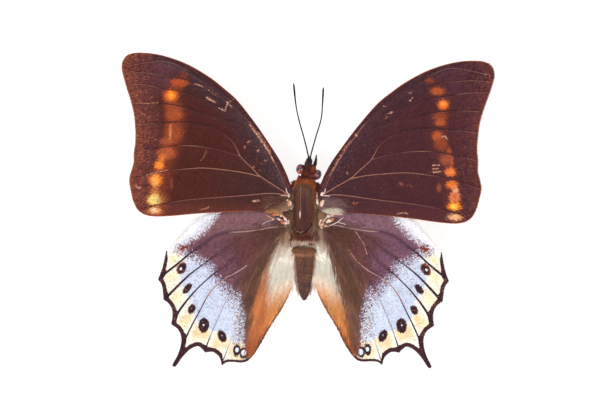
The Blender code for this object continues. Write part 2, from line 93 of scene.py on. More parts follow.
# %% [markdown]
# ## Camera, light and floor
#
# The photograph looks straight down, with the body turned one degree. A long lens at about four wing
# spans keeps the wings' proportions. The light is a white sky all round with a soft sun from the upper
# left, as on a copying table, so shadows are faint and small. The floor glows a little: that keeps it
# nearly white where the wings shade it, as in the picture.

# %% The camera
VIEW_WIDTH = 159.12  # millimetres across the picture at the height of the wings
WING_LEVEL = 10.0
VIEW_MIDDLE = (0.164, 1.043)
ROLL = math.radians(1.0)
LENS = 100.0
SENSOR_WIDTH = 36.0

camera_data = bpy.data.cameras.new("camera")
camera_data.lens = LENS
camera_data.sensor_width = SENSOR_WIDTH
camera_data.clip_start, camera_data.clip_end = 0.01, 10.0
camera = put_in_scene("camera", camera_data)
camera_rise = VIEW_WIDTH * LENS / SENSOR_WIDTH
camera.location = TO_FRAME @ Vector((*VIEW_MIDDLE, WING_LEVEL + camera_rise))
camera.rotation_euler = (0.0, 0.0, ROLL)
bpy.context.scene.camera = camera
bpy.context.scene.view_settings.view_transform = "Standard"
print("camera height, mm:", round(camera.location.z / MM, 1))

# %% Light and floor
SKY_STRENGTH = 0.8
SUN_STRENGTH = 1.4
SUN_SPREAD = math.radians(35)
SUN_LEAN = (math.radians(32), math.radians(-26), 0.0)
FLOOR_SIZE = 3.0
FLOOR_GREY = 0.35
FLOOR_GLOW = 0.79
WHITE = (1.0, 1.0, 1.0, 1.0)


def set_inputs(node, values):
    for name, value in values.items():
        node.inputs[name].default_value = value


world = bpy.data.worlds.new("studio")
world.use_nodes = True
set_inputs(world.node_tree.nodes["Background"], {"Color": WHITE, "Strength": SKY_STRENGTH})
bpy.context.scene.world = world

sun_data = bpy.data.lights.new("sun", "SUN")
sun_data.energy = SUN_STRENGTH
sun_data.angle = SUN_SPREAD
put_in_scene("sun", sun_data).rotation_euler = SUN_LEAN

floor_shape = bmesh.new()
bmesh.ops.create_grid(floor_shape, x_segments=1, y_segments=1, size=FLOOR_SIZE / 2)
floor_mesh = bpy.data.meshes.new("floor")
floor_shape.to_mesh(floor_mesh)
floor_shape.free()
floor_material = bpy.data.materials.new("floor_white")
floor_material.use_nodes = True
set_inputs(floor_material.node_tree.nodes["Principled BSDF"], {
    "Base Color": (FLOOR_GREY, FLOOR_GREY, FLOOR_GREY, 1.0), "Roughness": 0.9, "Specular IOR Level": 0.0,
    "Emission Color": WHITE, "Emission Strength": FLOOR_GLOW,
})
floor_mesh.materials.append(floor_material)
floor = put_in_scene("floor", floor_mesh)
print("floor:", FLOOR_SIZE, "m square")

# %% [markdown]
# ## Curves, distances and colours
#
# A wing's outline, its veins and its bands are all curves through a few given points. Nearly every
# marking on a wing can then be said as a distance: so far from the margin, so far from a vein, inside this
# rounded spot. These helpers draw the curves and measure the distances for many points at once.


# %% Curves and distances
def smooth_run(keys, step):
    """Points one step apart on a rounded curve through the keys."""
    keys = np.array(keys, float)
    if len(keys) == 2:
        count = max(1, round(float(np.linalg.norm(keys[1] - keys[0])) / step))
        return np.linspace(keys[0], keys[1], count + 1)
    ends = np.vstack([2 * keys[0] - keys[1], keys, 2 * keys[-1] - keys[-2]])
    t = np.arange(16)[:, None] / 16
    parts = [
        0.5 * (2 * b + (c - a) * t + (2 * a - 5 * b + 4 * c - d) * t**2 + (3 * b - a - 3 * c + d) * t**3)
        for a, b, c, d in zip(ends, ends[1:], ends[2:], ends[3:])
    ]
    fine = np.vstack([*parts, keys[-1:]])
    along = np.concatenate([[0], np.cumsum(np.linalg.norm(np.diff(fine, axis=0), axis=1))])
    at = np.linspace(0, along[-1], max(2, round(along[-1] / step)) + 1)
    return np.stack([np.interp(at, along, column) for column in fine.T], axis=1)


def nearest_in_block(line, points):
    starts, runs = line[:-1], np.diff(line, axis=0)
    lengths = np.linalg.norm(runs, axis=1)
    before = np.concatenate([[0], np.cumsum(lengths)[:-1]])
    gap = points[:, None, :] - starts
    share = np.clip((gap * runs).sum(2) / lengths**2, 0, 1)
    off = gap - share[:, :, None] * runs
    distance = np.linalg.norm(off, axis=2)
    best = distance.argmin(1)
    rows = np.arange(len(points))
    run, away = runs[best], off[rows, best]
    side = np.sign(run[:, 0] * away[:, 1] - run[:, 1] * away[:, 0])
    return distance[rows, best], (before[best] + share[rows, best] * lengths[best]) / lengths.sum(), side


def nearest(line, points):
    """Each point's distance from a curve, the share of the curve passed there, and its side (+1 left)."""
    blocks = np.array_split(points, max(1, len(points) // 1500))
    return [np.concatenate(found) for found in zip(*(nearest_in_block(line, block) for block in blocks))]


def inside(loop, points):
    """Which points lie in a closed loop, by counting the sides that each one looks across."""
    x, y = points[:, 0, None], points[:, 1, None]
    x0, y0 = loop.T
    x1, y1 = np.roll(loop, -1, axis=0).T
    slope = (x1 - x0) / np.where(y1 == y0, 1e-9, y1 - y0)
    crossed = ((y0 > y) != (y1 > y)) & (x < x0 + (y - y0) * slope)
    return crossed.sum(1) % 2 == 1


def stretch_of(outline, start, end):
    """The part of an outline between the points nearest to two places."""
    first, last = (np.linalg.norm(outline - np.array(place), axis=1).argmin() for place in (start, end))
    return outline[first:last + 1]


# %% Colours
def paint(red, green, blue):
    """A colour as a picture stores it, 0 to 255, turned into the light that a shader works in."""
    shares = np.array([red, green, blue]) / 255
    return np.where(shares <= 0.04045, shares / 12.92, ((shares + 0.055) / 1.055) ** 2.4)


def ramp(value, start, end):
    """0 at the start, 1 at the end, and a soft rise between them."""
    t = np.clip((value - start) / (end - start), 0, 1)
    return t * t * (3 - 2 * t)


def plain(points, red, green, blue):
    """One colour for all points."""
    return np.tile(paint(red, green, blue), (len(points), 1))


def blend(first, second, share):
    """Each point's colour, moved from the first colour towards the second by its share."""
    return first + (second - first) * np.broadcast_to(share, len(first))[:, None]


def layered(colours, *coats):
    """Paints laid over the colours in turn. A coat is red, green, blue and its share at each point."""
    for *shade, share in coats:
        colours = blend(colours, paint(*shade), np.clip(share, 0, 1))
    return colours


def along_stops(shares, stops):
    """Values read off a list of stops, each a share and the values there."""
    table = np.array([(share, *values) for share, values in stops])
    return np.stack([np.interp(shares, table[:, 0], column) for column in table[:, 1:].T], axis=1)


print("a dark maroon in linear light:", paint(88, 40, 36).round(4))

# %% [markdown]
# ## The wings' shape
#
# A butterfly's wing is a clear skin stretched on hollow veins, and nowhere thicker than a few hairs. The
# way chosen here starts from one flat face with the wing's outline. Planes slice it into small square
# cells, then an extrusion gives it an under side, and every point is lifted to the wing's gentle bow, its
# sag between the veins and the ridges on them. Small cells matter twice: they carry the ridges, and they
# hold the numbers that the markings are drawn from.

# %% The outlines
FORE_EDGE = [
    [
        (2.2, 5.2), (3.7, 6.2), (4.7, 8.5), (6.2, 11.5), (8.2, 14.6), (12.6, 20.8), (17.7, 27.1),
        (21.2, 30.2), (25.5, 33.4), (31.4, 36.6), (37.6, 38.6), (42.6, 39.2), (45.9, 38.9), (47.7, 37.5),
        (48.2, 35.3), (47.6, 32.6), (46.6, 29.4), (45.6, 26.4), (44.7, 22.8), (44.3, 19.0), (44.2, 16.0),
        (44.5, 13.2), (44.5, 10.6), (45.0, 8.6), (45.5, 6.2), (45.1, 3.6), (44.4, 0.8), (43.2, -1.5),
        (41.2, -2.8), (38.6, -3.2), (34.0, -2.9), (27.0, -2.1), (19.0, -1.45), (11.0, -1.0), (6.5, -0.9),
        (4.3, -0.3), (2.2, 0.8),
    ],
    [(2.2, 0.8), (2.2, 5.2)],
]
HIND_EDGE = [
    [
        (2.2, -1.2), (3.4, -0.1), (5.0, 0.7), (8.5, 1.5), (14.0, 1.8), (20.0, 0.7), (26.0, -1.8),
        (29.0, -3.3), (31.3, -5.9), (33.4, -8.2), (35.0, -10.2), (35.7, -11.3), (36.2, -13.8),
        (36.8, -16.3), (37.7, -18.8),
    ],
    [(37.7, -18.8), (36.8, -20.1), (36.4, -22.0), (36.2, -24.0)],
    [(36.2, -24.0), (34.9, -25.0), (34.0, -26.5), (33.8, -28.3), (34.1, -30.4)],
    [
        (34.1, -30.4), (32.3, -31.8), (31.5, -33.6), (31.5, -35.6), (32.2, -38.2), (33.5, -40.8),
        (33.4, -41.4), (32.7, -41.2), (31.2, -39.0), (29.2, -36.9), (27.2, -36.0), (26.0, -36.7),
        (25.2, -37.6),
    ],
    [(25.2, -37.6), (23.4, -37.4), (22.0, -38.2), (21.2, -39.3), (20.8, -40.9)],
    [
        (20.8, -40.9), (19.6, -40.1), (17.8, -40.0), (15.6, -40.1), (13.9, -39.5), (12.2, -37.6),
        (10.7, -34.8), (9.2, -31.8), (7.4, -28.9), (5.8, -26.3), (4.4, -23.6), (3.3, -21.0), (2.6, -18.5),
        (2.4, -15.5), (2.4, -11.5), (2.4, -8.5), (2.2, -5.6),
    ],
    [(2.2, -5.6), (2.2, -1.2)],
]
EDGE_STEP = 0.25

fore_outline = np.vstack([smooth_run(keys, EDGE_STEP)[:-1] for keys in FORE_EDGE])
hind_outline = np.vstack([smooth_run(keys, EDGE_STEP)[:-1] for keys in HIND_EDGE])
print("outline points:", len(fore_outline), len(hind_outline))

# %% [markdown]
# ### Veins
#
# Each vein is a route from the hinge to the margin, half the width of its drawn line, the height of its
# ridge, and its colour at a few places along it. On the fore wing the veins are worn pale near the body
# and dark where they cross the orange band. On the hind wing four of them are black lines running in from
# the border.

# %% The fore wing's veins
# What a vein's drawn line is coloured like, and how much of the wing's own colour it covers
VEIN_TINTS = {
    "dim": (92, 54, 54, 0.55), "faint": (128, 80, 72, 0.7), "pale": (168, 114, 98, 0.75),
    "tan": (180, 122, 98, 0.8), "dark": (46, 25, 27, 0.9), "worn": (180, 118, 100, 0.38),
    "black": (50, 28, 34, 1.0), "shade": (92, 60, 74, 0.75), "brown": (108, 72, 62, 0.5),
    "bare": (196, 160, 150, 0.6), "rust": (176, 118, 84, 1.0), "grey": (120, 118, 128, 0.7),
    "sand": (216, 188, 160, 0.8), "costa": (232, 212, 192, 0.75),
}
FORE_VEINS = [
    ([(4.2, 5.3), (6.9, 10.8), (11.2, 16.6), (16.2, 23.3), (20.8, 28.3), (25.1, 32.1), (28.4, 34.8)],
     0.1, 0.16, [(0, "faint"), (0.2, "dark"), (0.4, "dim"), (0.6, "dark"), (1, "dark")]),
    ([(4.4, 3.7), (6.5, 8.7), (10.2, 15.3), (15.0, 22.2), (21.3, 27.6), (24.4, 30.4), (27.7, 32.7),
      (32.1, 35.3), (36.2, 37.0), (40.6, 36.8), (47.1, 35.5)],
     0.11, 0.2, [(0, "faint"), (0.35, "pale"), (0.42, "dim"), (0.7, "dark"), (0.8, "worn"), (1, "worn")]),
    ([(15.0, 22.2), (20.0, 27.5), (25.1, 31.2), (30.2, 34.8), (34.1, 37.4)],
     0.1, 0.1, [(0, "dim"), (1, "dark")]),
    ([(24.4, 30.4), (26.7, 31.1), (31.6, 32.5), (37.3, 33.5), (43.3, 34.0), (47.6, 33.5)],
     0.12, 0.12, [(0, "dim"), (0.4, "dark"), (1, "worn")]),
    ([(18.3, 24.2), (24.0, 26.1), (27.8, 27.7), (31.7, 29.3), (37.1, 30.0), (42.1, 30.8), (46.7, 30.9)],
     0.12, 0.12, [(0, "dim"), (0.5, "dark"), (0.7, "dark"), (0.8, "worn"), (1, "worn")]),
    ([(16.6, 20.7), (22.1, 22.4), (26.9, 23.9), (31.8, 25.4), (37.0, 26.1), (44.5, 26.0)],
     0.14, 0.12, [(0, "dim"), (0.5, "dark"), (0.8, "dark"), (1, "worn")]),
    ([(4.4, 3.5), (7.6, 5.5), (11.4, 7.8), (14.0, 10.2), (16.8, 12.9), (18.4, 15.8), (20.3, 17.9),
      (24.8, 20.4), (31.2, 21.5), (37.8, 21.1), (43.9, 20.4)],
     0.13, 0.22, [(0, "tan"), (0.36, "pale"), (0.42, "faint"), (0.5, "dim"), (0.62, "dark"), (0.86, "dark"),
                  (1, "worn")]),
    ([(16.8, 12.9), (21.7, 14.3), (26.2, 15.1), (30.1, 15.4), (34.7, 15.2), (39.4, 14.3), (43.8, 13.3)],
     0.1, 0.14, [(0, "faint"), (0.25, "dim"), (0.5, "pale"), (0.62, "dark"), (0.84, "dark"), (1, "worn")]),
    ([(11.4, 7.8), (16.6, 8.9), (25.1, 9.7), (29.6, 9.5), (36.8, 8.5), (45.0, 6.6)],
     0.11, 0.14, [(0, "tan"), (0.55, "pale"), (0.64, "faint"), (0.7, "dark"), (1, "dark")]),
    ([(4.4, 3.2), (9.0, 3.6), (18.1, 2.6), (29.8, 1.4), (38.3, -0.2), (41.9, -1.5)],
     0.12, 0.16, [(0, "tan"), (0.2, "pale"), (0.76, "faint"), (0.83, "dark"), (1, "dark")]),
    ([(18.3, 25.4), (16.8, 23.0), (16.6, 20.7), (17.2, 18.1), (18.5, 16.1)],
     0.09, 0.08, [(0, "dim"), (1, "dim")]),
]
print("fore wing veins:", len(FORE_VEINS))

# %% The hind wing's veins
HIND_VEINS = [
    ([(4.7, -4.0), (8.1, -2.3), (11.9, -1.0), (17.1, -0.4), (23.6, -1.6), (28.1, -3.6), (32.3, -7.6),
      (35.0, -10.7)],
     0.1, 0.12, [(0, "bare"), (0.3, "brown"), (0.5, "costa"), (1, "costa")]),
    ([(4.7, -4.5), (8.8, -4.9), (12.0, -5.6), (16.4, -6.1), (20.1, -6.4), (23.6, -7.5), (26.5, -9.8),
      (29.5, -11.8), (32.4, -14.4), (36.9, -18.0)],
     0.21, 0.15, [(0, "bare"), (0.36, "bare"), (0.42, "shade"), (0.62, "shade"), (0.72, "black"),
                  (1, "black")]),
    ([(12.8, -5.9), (16.0, -7.9), (20.5, -10.9), (23.6, -12.9), (28.7, -16.7), (31.4, -19.2), (35.6, -23.6)],
     0.23, 0.13, [(0, "brown"), (0.4, "shade"), (0.5, "black"), (1, "black")]),
    ([(15.5, -10.3), (19.5, -14.2), (23.8, -17.5), (28.1, -21.7), (31.8, -26.4), (33.7, -30.0)],
     0.23, 0.13, [(0, "brown"), (0.25, "shade"), (0.36, "black"), (1, "black")]),
    ([(4.7, -5.0), (8.6, -9.3), (12.1, -12.7), (16.8, -16.4), (20.8, -18.6), (24.2, -22.0), (26.9, -27.0),
      (29.7, -32.6), (33.1, -40.9)],
     0.17, 0.15, [(0, "brown"), (0.3, "brown"), (0.32, "bare"), (0.45, "bare"), (0.48, "rust"),
                  (0.56, "rust"), (0.62, "black"), (1, "black")]),
    ([(12.1, -12.7), (15.9, -17.8), (19.0, -22.4), (21.3, -27.0), (24.0, -33.5), (25.1, -36.8)],
     0.12, 0.13, [(0, "brown"), (0.36, "brown"), (0.4, "rust"), (0.58, "rust"), (0.66, "grey"),
                  (0.84, "grey"), (0.93, "black"), (1, "black")]),
    ([(8.6, -9.3), (12.2, -15.8), (15.2, -23.5), (17.7, -31.8), (20.5, -39.6)],
     0.09, 0.12, [(0, "brown"), (0.5, "brown"), (0.6, "sand"), (0.85, "sand"), (0.9, "grey"),
                  (1, "black")]),
    ([(4.7, -5.3), (6.4, -9.4), (8.8, -17.7), (12.2, -28.8), (15.7, -39.4)],
     0.1, 0.12, [(0, "brown"), (1, "brown")]),
    ([(12.8, -5.9), (14.7, -8.0), (15.8, -10.5), (16.8, -13.4), (16.8, -16.4)],
     0.08, 0.08, [(0, "shade"), (1, "brown")]),
]
print("hind wing veins:", len(HIND_VEINS))

# %% [markdown]
# ### Form of a wing
#
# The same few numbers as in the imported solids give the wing's height: it rises slowly outwards, bows, waves a
# little, and the hind wing dips beside the belly to make a gutter for it.


# %% A wing's heights
WING_RISE = 0.04
MEMBRANE = 0.12
ROOT_SWELL = 0.7
ROOT_SWELL_REACH = 2.4
VEIN_WIDTH_OF_RIDGE = 0.24
PANEL_SAG = 0.14
SAG_REACH = 1.6
FOLD_DEPTH = 0.9
FOLD_REACH = (3.0, 8.0)


def numbers_of(rows, field, width=1, kind=np.float32):
    """One field of a mesh's rows as an array, so many numbers wide."""
    values = np.empty(len(rows) * width, kind)
    rows.foreach_get(field, values)
    return values.reshape(-1, width) if width > 1 else values


class Wing:
    """One wing's drawing, with its curves and the heights of both of its faces."""

    def __init__(self, name, outline, veins, hinge, height, corners, folded=False):
        self.name, self.outline, self.height, self.folded = name, outline, height, folded
        self.hinge = np.array(hinge)
        self.front, self.outer, self.rear = (stretch_of(outline, *ends) for ends in zip(corners, corners[1:]))
        self.veins = []
        for route, width, ridge, stops in veins:
            tints = [(share, (*paint(*VEIN_TINTS[tint][:3]), VEIN_TINTS[tint][3])) for share, tint in stops]
            self.veins.append((smooth_run(route, 0.5), width, ridge, tints))

    def middle(self, points):
        x, y = points.T
        lift = WING_RISE * (x - self.hinge[0])
        bow = 0.35 * np.sin(np.clip(x, 0, 48) / 48 * math.pi)
        wave = 0.22 * np.sin(y / 4.5) * (x / 45) ** 2
        ripple = 0.04 * np.sin(0.9 * x + 0.35 * y) * np.sin(0.55 * y - 0.2 * x + 1.0)
        dip = 0.0
        if self.folded:
            near, far = FOLD_REACH
            inwards = np.clip((far - x) / (far - near), 0, 1)
            dip = FOLD_DEPTH * inwards**2 * np.clip((-6.0 - y) / 6.0, 0, 1)
        return self.height + lift + bow + wave + ripple - dip

    def surface(self, points, veined):
        """The height of the wing's middle where it sags between the veins."""
        return self.middle(points) + PANEL_SAG * (np.exp(-((veined["least"] / SAG_REACH) ** 2)) - 0.5)

    def half_thickness(self, points, ridge):
        away = np.linalg.norm(points - self.hinge, axis=1)
        return MEMBRANE / 2 + ridge + ROOT_SWELL / 2 * np.exp(-((away / ROOT_SWELL_REACH) ** 2))

    def vein_taper(self, along):
        """How drawn lines widen: the fore wing's towards the body, the hind wing's black ones outwards."""
        return 0.7 + 0.8 * ramp(along, 0.5, 1.0) if self.folded else 0.95 - 0.25 * along

    def vein_map(self, points):
        """Distance from the nearest vein, signed and plain, its half width and colour, and the ridges."""
        least = np.full(len(points), 1e3)
        signed, width, ridge = np.zeros((3, len(points)))
        tint = np.zeros((len(points), 4))
        for line, half_width, height, stops in self.veins:
            distance, along, side = nearest(line, points)
            closer = distance < least
            least = np.where(closer, distance, least)
            signed = np.where(closer, distance * side, signed)
            width = np.where(closer, half_width * self.vein_taper(along), width)
            tint[closer] = along_stops(along[closer], stops)
            tall = height * ramp(along, 1.0, 0.9)
            ridge = np.maximum(ridge, tall * np.exp(-((distance / VEIN_WIDTH_OF_RIDGE) ** 2)))
        return {"signed": signed, "least": least, "width": width, "tint": tint, "ridge": ridge}

    def measure(self, blank):
        """Reads the sliced blank, and works out once the distances that the markings are made from."""
        self.blank = blank
        self.twin = numbers_of(blank.attributes["twin"].data, "value", kind=np.int32)
        self.below = numbers_of(blank.attributes["under"].data, "value", kind=np.int32) > 0
        self.points = np.empty((self.twin.max() + 1, 2))
        self.points[self.twin] = numbers_of(blank.vertices, "co", 3)[:, :2]
        self.away = np.linalg.norm(self.points - self.hinge, axis=1)
        margin = np.vstack([self.outline, self.outline[:1]])
        self.outer_gap, self.front_gap, self.rear_gap, self.margin_gap = (
            nearest(line, self.points)[0] for line in (self.outer, self.front, self.rear, margin)
        )
        self.veined = self.vein_map(self.points)


# Each wing's hinge, its height there, and the corners between its front, outer and rear margins
FORE_CORNERS = ((3.7, 6.2), (46.4, 38.6), (41.2, -2.8), (4.3, -0.3))
HIND_CORNERS = ((2.2, -1.2), (35.7, -11.3), (13.9, -39.5), (2.2, -5.6))
fore = Wing("forewing", fore_outline, FORE_VEINS, (3.9, 2.4), 9.3, FORE_CORNERS)
hind = Wing("hindwing", hind_outline, HIND_VEINS, (3.9, -3.9), 8.1, HIND_CORNERS, folded=True)
print("fore wing span, mm:", round(float(np.ptp(fore.outline[:, 0])), 1))


# %% Slicing a flat wing into cells
CELL = 0.21
FIRST_CUT = 0.6  # of a cell in from the edge, so that no plane runs along a straight stretch of the margin


def slice_up(shape, axis, step):
    """Cuts the flat shape by evenly spaced planes. Each cut works only on what lies beyond the last one."""
    places = [v.co[axis] for v in shape.verts]
    normal = Vector((0, 0, 0))
    normal[axis] = 1.0
    beyond = [*shape.verts, *shape.edges, *shape.faces]
    for place in np.arange(min(places) + FIRST_CUT * step, max(places), step):
        cut = bmesh.ops.bisect_plane(shape, geom=beyond, dist=0.004, plane_co=normal * place, plane_no=normal)
        edge = place - 0.005
        beyond = []
        for part in cut["geom"]:
            if isinstance(part, bmesh.types.BMVert):
                past = part.co[axis] > edge
            else:
                past = all(v.co[axis] > edge for v in part.verts)
            if past:
                beyond.append(part)


def cut_blank(outline):
    """A flat wing as square cells, with each point numbered, and its under side extruded from it."""
    shape = bmesh.new()
    shape.faces.new([shape.verts.new((x, y, 0.0)) for x, y in outline])
    slice_up(shape, 0, CELL)
    slice_up(shape, 1, CELL)
    bmesh.ops.dissolve_degenerate(shape, dist=0.01, edges=shape.edges)
    bmesh.ops.triangulate(shape, faces=shape.faces)
    bmesh.ops.recalc_face_normals(shape, faces=shape.faces)
    if sum(f.normal.z for f in shape.faces) < 0:
        bmesh.ops.reverse_faces(shape, faces=shape.faces)
    twin = shape.verts.layers.int.new("twin")
    under = shape.verts.layers.int.new("under")
    for index, v in enumerate(shape.verts):
        v[twin] = index
    count = len(shape.verts)
    made = bmesh.ops.extrude_face_region(shape, geom=shape.faces[:], use_keep_orig=True)
    for part in made["geom"]:
        if isinstance(part, bmesh.types.BMVert):
            part[under] = 1
    blank = bpy.data.meshes.new("blank")
    shape.to_mesh(blank)
    shape.free()
    print("cells' points:", count, "faces in all:", len(blank.polygons))
    return blank


fore.measure(cut_blank(fore.outline))
hind.measure(cut_blank(hind.outline))

# %% [markdown]
# ## The wings' markings
#
# Every scale on a butterfly's wing has one plain colour, so a marking's edge is a line of separate scales
# and looks grainy close up. The markings are therefore kept as numbers on the wing's points: the colour
# near the body, the colour beyond, how far the change has gone, and distances from veins, spots and
# borders. The shader turns them into scales later. These functions work out those numbers from the
# distances.


# %% Parts that both wings' markings share
def spot_distance(points, x, y, half_long, half_wide, lean):
    """Signed distance from the edge of an egg-shaped spot, whose long way leans towards the body."""
    angle = math.radians(lean)
    away = points - np.array([x, y])
    long_way = away[:, 1] * math.cos(angle) - away[:, 0] * math.sin(angle)
    wide_way = away[:, 0] * math.cos(angle) + away[:, 1] * math.sin(angle)
    reach = np.hypot(long_way / half_long, wide_way / half_wide)
    return (reach - 1) * min(half_long, half_wide)


def glow(points, x, y, radius):
    """A soft round patch, 1 in its middle."""
    return np.exp(-((points - np.array([x, y])) ** 2).sum(1) / radius**2)


def worn_along(points, scratches):
    """How worn the wing is by scratches, each a short line with half its width and its strength."""
    worn = np.zeros(len(points))
    for line, half_width, strength in scratches:
        distance = nearest(np.array(line, float), points)[0]
        worn = np.maximum(worn, strength * np.exp(-((distance / half_width) ** 2)))
    return worn


def markings(ground, beyond, zone, grain, worn, veins, hem, spot=9.0, pupil=9.0, rust=0.0, mottle=0.0):
    """The numbers that the wing shader reads, one row for each point."""
    def rows(*columns):
        return np.column_stack([np.broadcast_to(column, len(ground)) for column in columns])

    grain = grain * np.clip(6 * np.minimum(zone, 1 - zone), 0, 1)
    return {
        "ground": rows(*ground.T, 1.0), "beyond": rows(*beyond.T, 1.0), "zone": rows(zone, grain, worn),
        "veins": rows(veins["signed"], veins["least"], veins["width"]), "vein_tint": veins["tint"],
        "spots": rows(spot, pupil, rust), "hem": rows(hem, mottle, 0.0),
    }


# %% [markdown]
# ### Fore wing, upper side
#
# Dark maroon, greyer along the leading edge and purple brown at the tip. An orange band runs down inside
# the outer margin: crisp towards the margin, glowing away towards the body, brightest near the rear
# corner, and cut by dark veins. The specimen is old, and scales are rubbed off in dashes, more on the
# left wing.

# %% Fore wing, upper side
FORE_BAND = [
    (30.6, 34.6), (33.2, 31.3), (35.3, 27.8), (34.9, 23.8), (35.0, 19.0), (36.4, 14.2), (37.7, 10.1),
    (38.6, 5.6), (39.2, 1.2), (39.0, -2.6),
]
# The band's glowing patches, one or two between each two veins: place, half sizes, colour, strength
FORE_PATCHES = {
    "left": [
        (31.9, 33.9, 0.8, 0.8, (138, 64, 38), 0.6), (33.4, 31.7, 2.2, 1.0, (184, 80, 40), 0.9),
        (35.3, 28.2, 1.9, 1.6, (168, 76, 34), 0.9), (35.3, 28.3, 1.2, 1.4, (244, 120, 30), 1.0),
        (35.3, 28.3, 0.55, 0.8, (255, 160, 50), 1.0),
        (34.6, 25.2, 2.2, 1.5, (146, 66, 38), 0.9), (34.4, 23.2, 2.1, 1.4, (164, 76, 42), 0.9),
        (34.4, 18.9, 2.2, 2.2, (154, 70, 40), 0.9), (36.0, 16.4, 1.8, 0.9, (172, 86, 52), 0.8),
        (35.3, 18.9, 0.28, 1.8, (224, 134, 80), 0.7), (36.2, 13.4, 2.3, 1.6, (178, 86, 50), 0.85),
        (37.3, 12.0, 0.9, 1.1, (214, 112, 54), 0.85), (37.9, 10.1, 1.2, 1.1, (250, 134, 46), 1.0),
        (38.7, 6.3, 1.6, 1.5, (238, 126, 44), 1.0), (38.9, 5.8, 0.8, 1.6, (252, 176, 84), 0.8),
        (38.7, 3.3, 1.2, 1.4, (196, 108, 66), 0.7), (38.7, 1.1, 1.8, 1.4, (255, 156, 40), 1.0),
        (38.8, 1.1, 1.5, 1.15, (255, 226, 136), 1.0), (38.8, -1.6, 1.8, 0.9, (232, 144, 88), 0.95),
        (38.9, -1.6, 0.7, 0.6, (253, 214, 166), 0.8), (34.6, 5.4, 0.5, 1.6, (156, 84, 46), 0.5),
        (36.6, 1.4, 1.6, 1.5, (136, 66, 38), 0.6),
    ],
    "right": [
        (31.5, 33.8, 1.3, 0.8, (140, 66, 40), 0.75), (33.6, 31.1, 1.8, 1.0, (188, 86, 42), 0.85),
        (35.2, 27.6, 1.3, 1.2, (240, 112, 34), 1.0), (35.2, 27.8, 0.6, 0.5, (255, 156, 66), 1.0),
        (34.4, 24.6, 2.0, 1.1, (138, 64, 40), 0.8), (34.5, 23.0, 1.4, 1.0, (182, 86, 48), 0.8),
        (33.9, 19.4, 1.4, 1.3, (192, 88, 44), 0.85), (34.9, 17.4, 1.7, 1.8, (148, 68, 38), 0.8),
        (36.9, 15.2, 0.7, 1.3, (172, 84, 46), 0.7), (37.7, 12.8, 0.4, 1.6, (178, 88, 52), 0.8),
        (37.4, 10.2, 1.3, 1.1, (240, 120, 52), 1.0), (37.6, 10.2, 0.6, 0.5, (252, 150, 80), 0.7),
        (37.9, 6.9, 1.4, 1.0, (238, 122, 50), 0.95), (38.9, 5.2, 0.9, 0.9, (250, 176, 132), 0.7),
        (38.7, 3.6, 1.4, 1.3, (224, 122, 78), 1.0), (38.7, 1.3, 1.7, 1.1, (252, 140, 34), 1.0),
        (38.7, 1.2, 0.8, 0.6, (255, 206, 84), 1.0), (38.9, -1.5, 1.8, 0.8, (246, 178, 128), 0.95),
        (34.6, 6.0, 0.7, 1.3, (150, 82, 48), 0.6), (36.2, 13.4, 1.7, 1.5, (168, 84, 56), 0.7),
    ],
}
